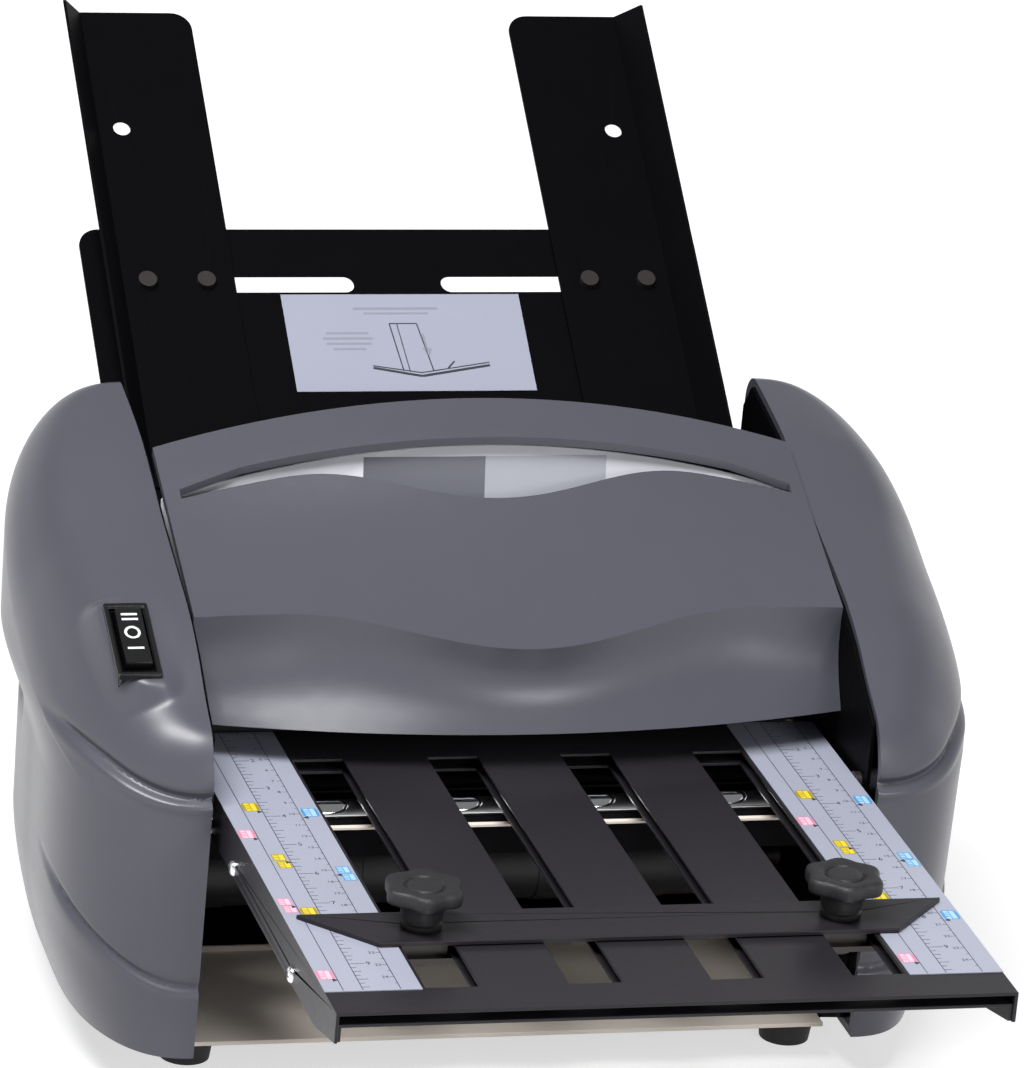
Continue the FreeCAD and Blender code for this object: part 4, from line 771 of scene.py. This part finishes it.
def ruler_numbers(side):
    """All the numbers of one strip as a single piece."""
    place = strip_place(side)
    mesh = bmesh.new()
    wanted = [(count, inch, *inch_digits) for count in range(1, 10)]
    wanted += [(count, centimetre, *centimetre_digits) for count in range(3, 25)]
    for count, unit, u, size in wanted:
        places, faces = digits_mesh(str(count), size)
        verts = [mesh.verts.new(place(u + x, count * unit - y, ink_height)) for x, y in places]
        for face in faces:
            mesh.faces.new([verts[index] for index in face])
    for face in mesh.faces:
        face.normal_update()
        if face.normal.z < 0:
            face.normal_flip()
    return add_piece(side + "_ruler_numbers", mesh, ink_dark)


for side in strip_lefts:
    numbers = ruler_numbers(side)
    print(numbers.name, "faces:", len(numbers.data.polygons))

# %% [markdown]
# Beside the scale stand small coloured signs, one for each kind of fold and paper length: a sheet,
# its fold, and a second panel where the fold is double. A black pointer shows the line to set the
# stop bar to. Here they are plain outlined panels over a lighter tint. Each colour has its ink, its
# tint, its place across the strip, its signs as (place down the strip, panels) and the side on which
# its pointers stand.

# %% Fold signs of the rulers
tint_pink = finish("tint_pink", (0.86, 0.58, 0.70), 0.4, tone=0.05)
tint_yellow = finish("tint_yellow", (0.84, 0.66, 0.04), 0.4, tone=0.05)
tint_blue = finish("tint_blue", (0.40, 0.66, 0.90), 0.4, tone=0.05)
fold_signs = {
    "pink": (ink_pink, tint_pink, 3.2, [(117, 1), (176, 2), (237, 1)], 1),
    "yellow": (ink_yellow, tint_yellow, 10.0, [(93, 1), (138, 2), (185, 1)], 1),
    "blue": (ink_blue, tint_blue, 30.6, [(99, 1), (150, 2), (202, 1)], -1),
}
panel_wide = 4.8
panel_line = 0.42
field_wide = 3.9
single_panel, double_panel = 7.6, 5.8


def panel_height(panels):
    """Height of one panel of a sign: a double sign has two shorter ones."""
    return single_panel if panels == 1 else double_panel


def panel_places(u, v, panels):
    """The middles of a sign's panels: the second one lies lower and a little aside."""
    return [(u + 0.7 * index, v + 6.4 * index) for index in range(panels)]


def sign_shapes(u, v, panels):
    """Outline, fold line and tint strokes of one sign."""
    shapes = []
    for left, down in panel_places(u, v, panels):
        shapes += frame_strokes(left, down, panel_wide, panel_height(panels), panel_line)
        shapes.append(bar_shape(left, down, 0.36, panel_height(panels) - 2 * panel_line))
        shapes += [bar_shape(left - 1.1, down + row, 1.5, 0.5) for row in (-1.5, 0.0, 1.5)]
    if panels == 1:
        shapes.append([(u - 3.0, v - 2.6), (u - 2.4, v - 3.3), (u - 2.4, v + 3.3), (u - 3.0, v + 2.6)])
        shapes.append([(u + 2.4, v - 3.3), (u + 3.0, v - 2.6), (u + 3.0, v + 2.6), (u + 2.4, v + 3.3)])
    return shapes


def tint_shapes(u, v, panels):
    """The pale field inside each panel of a sign."""
    return [bar_shape(left, down, field_wide, panel_height(panels) - 0.9)
            for left, down in panel_places(u, v, panels)]


for side in strip_lefts:
    pointers = []
    for colour, (ink, tint, u, marks, pointing) in fold_signs.items():
        lines = []
        fields = []
        for v, panels in marks:
            lines += sign_shapes(u, v, panels)
            fields += tint_shapes(u, v, panels)
            tip, tail = u + 3.6 * pointing, u + 1.6 * pointing
            pointers.append([(tip, v + 4.4), (tail, v + 3.2), (tail, v + 5.6)])
        print_shapes(side + "_" + colour + "_fields", fields, strip_place(side), tint,
                     thickness=0.03)
        print_shapes(side + "_" + colour + "_signs", lines, strip_place(side), ink,
                     thickness=0.05)
    print_shapes(side + "_pointers", pointers, strip_place(side), ink_dark, thickness=0.06)
print("fold signs on each strip:", sum(len(entry[3]) for entry in fold_signs.values()))

# %% [markdown]
# The rocker has three positions, moulded in white: two bars, a ring and one bar. The rocker's face
# is dished, so each legend is drawn as a fine grid that is dropped onto the rocker by casting rays
# down its own axis. A Shrinkwrap modifier does the same job, but rays also give the hit to check.

# %% Legends on the rocker
legend_lift = 0.00005
ray_start = 12
bar_rows, bar_columns = 3, 9
ring_steps = 40


def drop_on_rocker(across, along):
    """The rocker's surface below a place, and a hair above it."""
    start = on_switch(across, along, ray_start)
    down = (on_switch(across, along, 0) - start).normalized()
    hit, place = nodes["rocker"].ray_cast(start, down)[:2]
    if not hit:
        raise ValueError("legend misses the rocker")
    return place - down * legend_lift


def legend_bar(mesh, along, wide, tall):
    """One straight bar across the rocker."""
    rows = []
    for row in range(bar_rows):
        v = along + tall * (row / (bar_rows - 1) - 0.5)
        rows.append([mesh.verts.new(drop_on_rocker(wide * (column / (bar_columns - 1) - 0.5), v))
                     for column in range(bar_columns)])
    for low, high in zip(rows, rows[1:]):
        for column in range(bar_columns - 1):
            mesh.faces.new((low[column], low[column + 1], high[column + 1], high[column]))


def legend_ring(mesh, along, radius, thick):
    """A ring about the rocker's middle."""
    rings = []
    angles = [math.tau * step / ring_steps for step in range(ring_steps)]
    for reach in (radius - thick / 2, radius, radius + thick / 2):
        rings.append([mesh.verts.new(drop_on_rocker(reach * math.cos(angle), along + reach * math.sin(angle)))
                      for angle in angles])
    for low, high in zip(rings, rings[1:]):
        for step in range(ring_steps):
            follow = (step + 1) % ring_steps
            mesh.faces.new((low[step], high[step], high[follow], low[follow]))


legends = bmesh.new()
legend_bar(legends, 10.6, 6.0, 1.0)
legend_bar(legends, 8.3, 6.0, 1.0)
legend_ring(legends, 2.0, 2.5, 1.0)
legend_bar(legends, -6.0, 6.0, 1.1)
add_piece("rocker_legends", legends, legend_white, "rocker_body")
print("legends lie on the rocker")

# %% [markdown]
# The tray's label carries a small line drawing of how the paper lies, and the ramp's label is a
# strip in two tones. The tray's drawing is generic: a sheet standing over two opened plates. Its
# few strokes are laid out on the label's own face. The ramp's label gets its two tones from its
# material, which compares each place's X with the label's middle and mixes two films by the answer.

# %% Labels of the tray and the ramp
label_board = top_board("tray_label")


def on_label(u, v, w):
    """A place on the tray's label, in millimetres from its middle."""
    return board_place(label_board, u, v, w)


drawing = [stroke((-16, -12), (3, -16), 1.1), stroke((3, -16), (31, -11), 1.1),
           stroke((-16, -11), (3, -14.4), 0.5), stroke((3, -14.4), (31, -9.6), 0.5),
           stroke((-4, -13.5), (-6.5, 9), 0.5), stroke((-1.5, -14), (-3.5, 9), 0.4),
           stroke((8, -13.5), (4.5, 9), 0.5), stroke((-6.5, 9), (4.5, 9), 0.5),
           stroke((14, -12.3), (17, -9.0), 0.7)]
arrow = [stroke((6.2, 4), (6.8, -3), 1.0), [(4.9, -2.6), (8.9, -2.9), (7.3, -7.2)]]
caption_bars = [bar_shape(-3, 16.2, 34, 1.1), bar_shape(-3, 13.9, 26, 0.9), bar_shape(-24, 4.5, 17, 1.0),
                bar_shape(-24, 2.0, 20, 1.0), bar_shape(-24, -0.5, 18, 1.0), bar_shape(-24, -3.0, 13, 1.0)]
print_shapes("tray_label_drawing", drawing, on_label, ink_dark)
print_shapes("tray_label_arrow", arrow, on_label, ink_grey)
print_shapes("tray_label_bars", caption_bars, on_label, ink_grey)


def two_tone(name, left, right, where):
    """Label film whose colour changes hard at one place across the machine."""
    material = finish(name, right, 0.34, tone=0.03)
    tree = material.node_tree
    shader = tree.nodes["Principled BSDF"]
    tinted = shader.inputs["Base Color"].links[0].from_node
    coordinates = tree.nodes.new("ShaderNodeTexCoord")
    split = tree.nodes.new("ShaderNodeSeparateXYZ")
    tree.links.new(coordinates.outputs["Object"], split.inputs["Vector"])
    beyond = tree.nodes.new("ShaderNodeMath")
    beyond.operation = "GREATER_THAN"
    beyond.inputs[1].default_value = where
    tree.links.new(split.outputs["X"], beyond.inputs[0])
    tone = tree.nodes.new("ShaderNodeMix")
    tone.data_type = "RGBA"
    tone.inputs["A"].default_value = (*left, 1)
    tree.links.new(beyond.outputs["Value"], tone.inputs["Factor"])
    tree.links.new(tinted.outputs["Result"], tone.inputs["B"])
    tree.links.new(tone.outputs["Result"], shader.inputs["Base Color"])
    return material


ramp_middle = (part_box("ramp_label")[0].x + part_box("ramp_label")[1].x) / 2
dress("ramp_label", two_tone("ramp_label_film", (0.17, 0.175, 0.21), (0.50, 0.51, 0.58), ramp_middle))
print("ramp label changes tone at x =", round(ramp_middle * 1000, 1), "mm")

# %% [markdown]
# The two clamp knobs are moulded phenolic: a six-lobed head with a dished ring round a low button,
# lobes scooped underneath, and a neck that stands on the stop bar. The form is almost a lathe
# turning, but its radius swells and shrinks round the head. So a profile is listed from the bore
# over the foot to the button, each row says how much of the lobes and of the arc-shaped grooves it
# feels, and the rows are joined ring by ring.

# %% Clamp knobs
# Rows of (radius, height, share of the lobes, share of the grooves)
knob_rows = [
    (2.56, 12.0, 0.0, 0.0), (2.56, 0.3, 0.0, 0.0), (2.9, 0.15, 0.0, 0.0), (6.9, 0.15, 0.0, 0.0),
    (7.3, 0.5, 0.0, 0.0), (7.3, 2.2, 0.0, 0.0), (6.5, 2.7, 0.0, 0.0), (6.5, 3.3, 0.0, 0.0),
    (7.3, 3.8, 0.05, 0.0), (7.5, 6.0, 0.08, 0.0), (7.7, 8.2, 0.14, 0.0), (8.3, 9.6, 0.3, 0.0),
    (9.3, 10.2, 0.62, 0.0), (10.4, 10.5, 0.9, 0.0), (11.0, 10.9, 1.0, 0.0), (11.3, 11.6, 1.0, 0.0),
    (11.4, 12.6, 1.0, 0.0), (11.4, 14.4, 1.0, 0.0), (11.2, 15.2, 1.0, 0.0), (10.8, 15.8, 0.98, 0.0),
    (10.2, 16.2, 0.92, 0.0), (9.5, 16.3, 0.8, 0.0), (8.7, 16.15, 0.5, 0.0), (7.9, 15.9, 0.15, 0.0),
    (7.3, 15.75, 0.0, 0.5), (7.0, 15.6, 0.0, 1.0), (6.6, 15.6, 0.0, 1.0), (6.3, 15.8, 0.0, 0.4),
    (5.6, 15.95, 0.0, 0.0), (3.5, 16.0, 0.0, 0.0), (1.5, 16.05, 0.0, 0.0),
]
knob_steps = 144
knob_foot_height = 0.15
lobe_count = 6
lobe_least, lobe_swell = 1.2, 1.9
groove_depth = 0.75
knob_turn = 0.35


def make_knob(name, node, body, turn):
    """One knob about its bolt's axis."""
    low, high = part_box(node)
    middle = (low + high) / 2
    foot = low.z * 1000 - knob_foot_height
    mesh = bmesh.new()
    rings = []
    for radius, height, lobed, grooved in knob_rows:
        ring = []
        for step in range(knob_steps):
            angle = math.tau * step / knob_steps
            swell = 0.5 + 0.5 * math.cos(lobe_count * angle)
            reach = radius + lobed * (lobe_least + lobe_swell * swell)
            sink = grooved * groove_depth * smooth_step(abs(math.sin(angle - turn)) * 1.6 - 0.3)
            ring.append(mesh.verts.new((middle.x + reach * math.cos(angle + turn) / 1000,
                                        middle.y + reach * math.sin(angle + turn) / 1000,
                                        (foot + height - sink) / 1000)))
        rings.append(ring)
    join_rings(mesh, rings)
    bmesh.ops.recalc_face_normals(mesh, faces=mesh.faces)
    knob = add_piece(name, mesh, knob_black, body)
    shade(knob, 50)
    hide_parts(node)
    return knob


for side in ("left", "right"):
    knob = make_knob(side + "_knob_head", side + "_clamp_knob", side + "_knob_body", knob_turn)
    print(knob.name, "faces:", len(knob.data.polygons))

# %% [markdown]
# Four small bright screws hold the fold plate's flanges. At this size a screw is read by its domed
# head and the cross in it. The dome is turned like the knob, and a Boolean sinks the cross, which
# keeps its walls upright, as the driver's tip leaves them. Their places come from the CAD node, which
# is split into its separate solids first.

# %% Cross-head screws of the flanges
screw_bright = finish("screw_bright", (0.80, 0.81, 0.83), 0.22, metal=1.0, tone=0.08, tone_size=500,
                      uneven=0.06)
screw_radius = 3.0
screw_height = 1.8
screw_steps = 28
# Shares of the radius and of the height, from the shank's end over the rim to the dome's top
screw_rows = [(0.55, -1.2), (0.55, 0.0), (1.0, 0.0), (1.0, 0.25), (0.96, 0.5), (0.85, 0.75), (0.66, 0.92),
              (0.4, 0.99)]
cross_reach = (0.35, 1.6)


def screw_head(mesh, place, along, radius, height):
    """A domed head that starts at a place and rises along a direction, as a closed turning."""
    side = along.orthogonal().normalized()
    other = along.cross(side)
    rings = []
    for share, rise in screw_rows:
        ring = []
        for step in range(screw_steps):
            angle = math.tau * step / screw_steps
            out = side * math.cos(angle) + other * math.sin(angle)
            ring.append(mesh.verts.new(place + (out * radius * share + along * height * rise) / 1000))
        rings.append(ring)
    join_rings(mesh, rings)


def cross_tool(mesh, place, along, radius, height, turn):
    """The driver's cross as a closed prism that reaches into the head."""
    side = along.orthogonal().normalized()
    other = along.cross(side)
    wide, long = radius * 0.15, radius * 0.62
    outline = [(wide, wide), (wide, long), (-wide, long), (-wide, wide), (-long, wide), (-long, -wide),
               (-wide, -wide), (-wide, -long), (wide, -long), (wide, -wide), (long, -wide), (long, wide)]
    rings = []
    for rise in cross_reach:
        ring = []
        for u, v in outline:
            across = side * (u * math.cos(turn) - v * math.sin(turn))
            upright = other * (u * math.sin(turn) + v * math.cos(turn))
            ring.append(mesh.verts.new(place + (across + upright + along * height * rise) / 1000))
        rings.append(ring)
    join_rings(mesh, rings)


def cross_screws(name, node, places, radius, height, material, body):
    """Screws at several places, with their crosses cut, in place of a CAD node."""
    heads = bmesh.new()
    crosses = bmesh.new()
    for index, (place, along) in enumerate(places):
        screw_head(heads, place, along, radius, height)
        cross_tool(crosses, place, along, radius, height, 0.5 + index)
    bmesh.ops.recalc_face_normals(heads, faces=heads.faces)
    piece = add_piece(name, heads, material, body)
    cut_away(piece, crosses)
    shade(piece, 40)
    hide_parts(node)


def loose_boxes(node):
    """The low and high corner of each separate solid of a node, in the same order every run."""
    mesh = bmesh.new()
    mesh.from_mesh(nodes[node].data)
    bmesh.ops.remove_doubles(mesh, verts=mesh.verts, dist=weld_reach / 2)
    left = set(mesh.verts)
    found = []
    while left:
        group = {left.pop()}
        edge = set(group)
        while edge:
            edge = {e.other_vert(v) for v in edge for e in v.link_edges} - group
            group |= edge
        left -= group
        places = [v.co.copy() for v in group]
        low = Vector([min(p[i] for p in places) for i in range(3)])
        high = Vector([max(p[i] for p in places) for i in range(3)])
        found.append((low, high))
    mesh.free()
    return sorted(found, key=lambda corners: tuple(corners[0]))


flange_places = []
for low, high in loose_boxes("flange_screws"):
    outward = 1 if low.x + high.x > 0 else -1
    foot = (low + high) / 2
    foot.x = (high.x if outward > 0 else low.x) - outward * screw_height / 1000
    flange_places.append((foot, Vector((outward, 0, 0))))
cross_screws("flange_screw_heads", "flange_screws", flange_places, screw_radius, screw_height, screw_bright,
             "chassis")
print("flange screws:", len(flange_places))

# %% [markdown]
# The machine stands on a plain pale sweep, under a wide soft lamp overhead and a little in front,
# which puts the long highlights on the covers' noses. A smaller, weaker one fills from the front
# right, and the ceiling is kept dim so that the black tray stays black. The sweep has to look white
# without lighting the machine more: Light Path tells rays from the camera, and those seen in gloss
# or through glass, from the rest, and only for these a little glow is added to the paper. It is
# added, not swapped, so the machine's shadow still falls on it.

# %% Studio
floor_radius = 1.9
floor_drop = 0.0005
floor_colour = (0.55, 0.55, 0.56)
glow_reach = (0.5, 1.7)
floor_glow = (0.62, 0.95)
horizon_fade = (0.18, 0.55)
horizon_light, ceiling_light = 1.0, 0.22
world_light = 0.17
lamp_aim = Vector((0, -0.05, 0.12))


def ranged(tree, value, low, high, start, end):
    """A value mapped from one range onto another."""
    mapped = tree.nodes.new("ShaderNodeMapRange")
    mapped.inputs["From Min"].default_value = low
    mapped.inputs["From Max"].default_value = high
    mapped.inputs["To Min"].default_value = start
    mapped.inputs["To Max"].default_value = end
    tree.links.new(value, mapped.inputs["Value"])
    return mapped.outputs["Result"]


def seen_rays(tree):
    """1 for rays that show the background: from the camera, in gloss and through glass."""
    path = tree.nodes.new("ShaderNodeLightPath")
    first = tree.nodes.new("ShaderNodeMath")
    first.operation = "MAXIMUM"
    tree.links.new(path.outputs["Is Camera Ray"], first.inputs[0])
    tree.links.new(path.outputs["Is Glossy Ray"], first.inputs[1])
    both = tree.nodes.new("ShaderNodeMath")
    both.operation = "MAXIMUM"
    tree.links.new(first.outputs[0], both.inputs[0])
    tree.links.new(path.outputs["Is Transmission Ray"], both.inputs[1])
    return both.outputs[0]


def sweep_paper(name):
    """Matte paper with some glow where it is looked at, and more of it away from the machine."""
    material = bpy.data.materials.new(name)
    material.use_nodes = True
    tree = material.node_tree
    shader = tree.nodes["Principled BSDF"]
    shader.inputs["Base Color"].default_value = (*floor_colour, 1)
    shader.inputs["Roughness"].default_value = 0.9
    shader.inputs["Specular IOR Level"].default_value = 0.1
    shader.inputs["Emission Color"].default_value = (1, 1, 1, 1)
    lift = tree.nodes.new("ShaderNodeMath")
    lift.operation = "MULTIPLY"
    tree.links.new(seen_rays(tree), lift.inputs[0])
    where = tree.nodes.new("ShaderNodeTexCoord")
    reach = tree.nodes.new("ShaderNodeVectorMath")
    reach.operation = "LENGTH"
    tree.links.new(where.outputs["Object"], reach.inputs[0])
    tree.links.new(ranged(tree, reach.outputs["Value"], *glow_reach, *floor_glow), lift.inputs[1])
    tree.links.new(lift.outputs[0], shader.inputs["Emission Strength"])
    return material


def make_floor():
    """A wide pale floor under the machine."""
    mesh = bmesh.new()
    bmesh.ops.create_circle(mesh, cap_ends=True, segments=96, radius=floor_radius)
    floor = as_object("floor", mesh)
    floor.location = (0, 0, -floor_drop)
    floor.data.materials.append(sweep_paper("floor_paper"))


def soft_lamp(name, direction, distance, wide, power):
    """A rectangular area lamp in a direction from the machine, turned towards it."""
    data = bpy.data.lights.new(name, "AREA")
    data.shape = "RECTANGLE"
    data.size, data.size_y = wide
    data.energy = power
    lamp = bpy.data.objects.new(name, data)
    lamp.location = lamp_aim + Vector(direction).normalized() * distance
    lamp.rotation_euler = (lamp_aim - lamp.location).to_track_quat("-Z", "Y").to_euler()
    bpy.context.scene.collection.objects.link(lamp)


def make_world():
    """White round the horizon to the camera and to gloss, dim overhead and as a light."""
    world = bpy.data.worlds.new("studio")
    bpy.context.scene.world = world
    world.use_nodes = True
    tree = world.node_tree
    back = tree.nodes["Background"]
    back.inputs["Color"].default_value = (1, 1, 1, 1)
    where = tree.nodes.new("ShaderNodeTexCoord")
    split = tree.nodes.new("ShaderNodeSeparateXYZ")
    tree.links.new(where.outputs["Generated"], split.inputs["Vector"])
    seen = ranged(tree, split.outputs["Z"], *horizon_fade, horizon_light, ceiling_light)
    choose = tree.nodes.new("ShaderNodeMix")
    choose.inputs["A"].default_value = world_light
    tree.links.new(seen_rays(tree), choose.inputs["Factor"])
    tree.links.new(seen, choose.inputs["B"])
    tree.links.new(choose.outputs["Result"], back.inputs["Strength"])


make_floor()
make_world()
soft_lamp("overhead", (-0.30, -0.32, 0.9), 2.2, (1.7, 0.55), 66)
soft_lamp("front_fill", (0.30, -0.88, 0.36), 2.8, (0.7, 0.5), 14)
bpy.context.scene.view_settings.view_transform = "Standard"
print("lamps:", [lamp.name for lamp in bpy.data.lights])
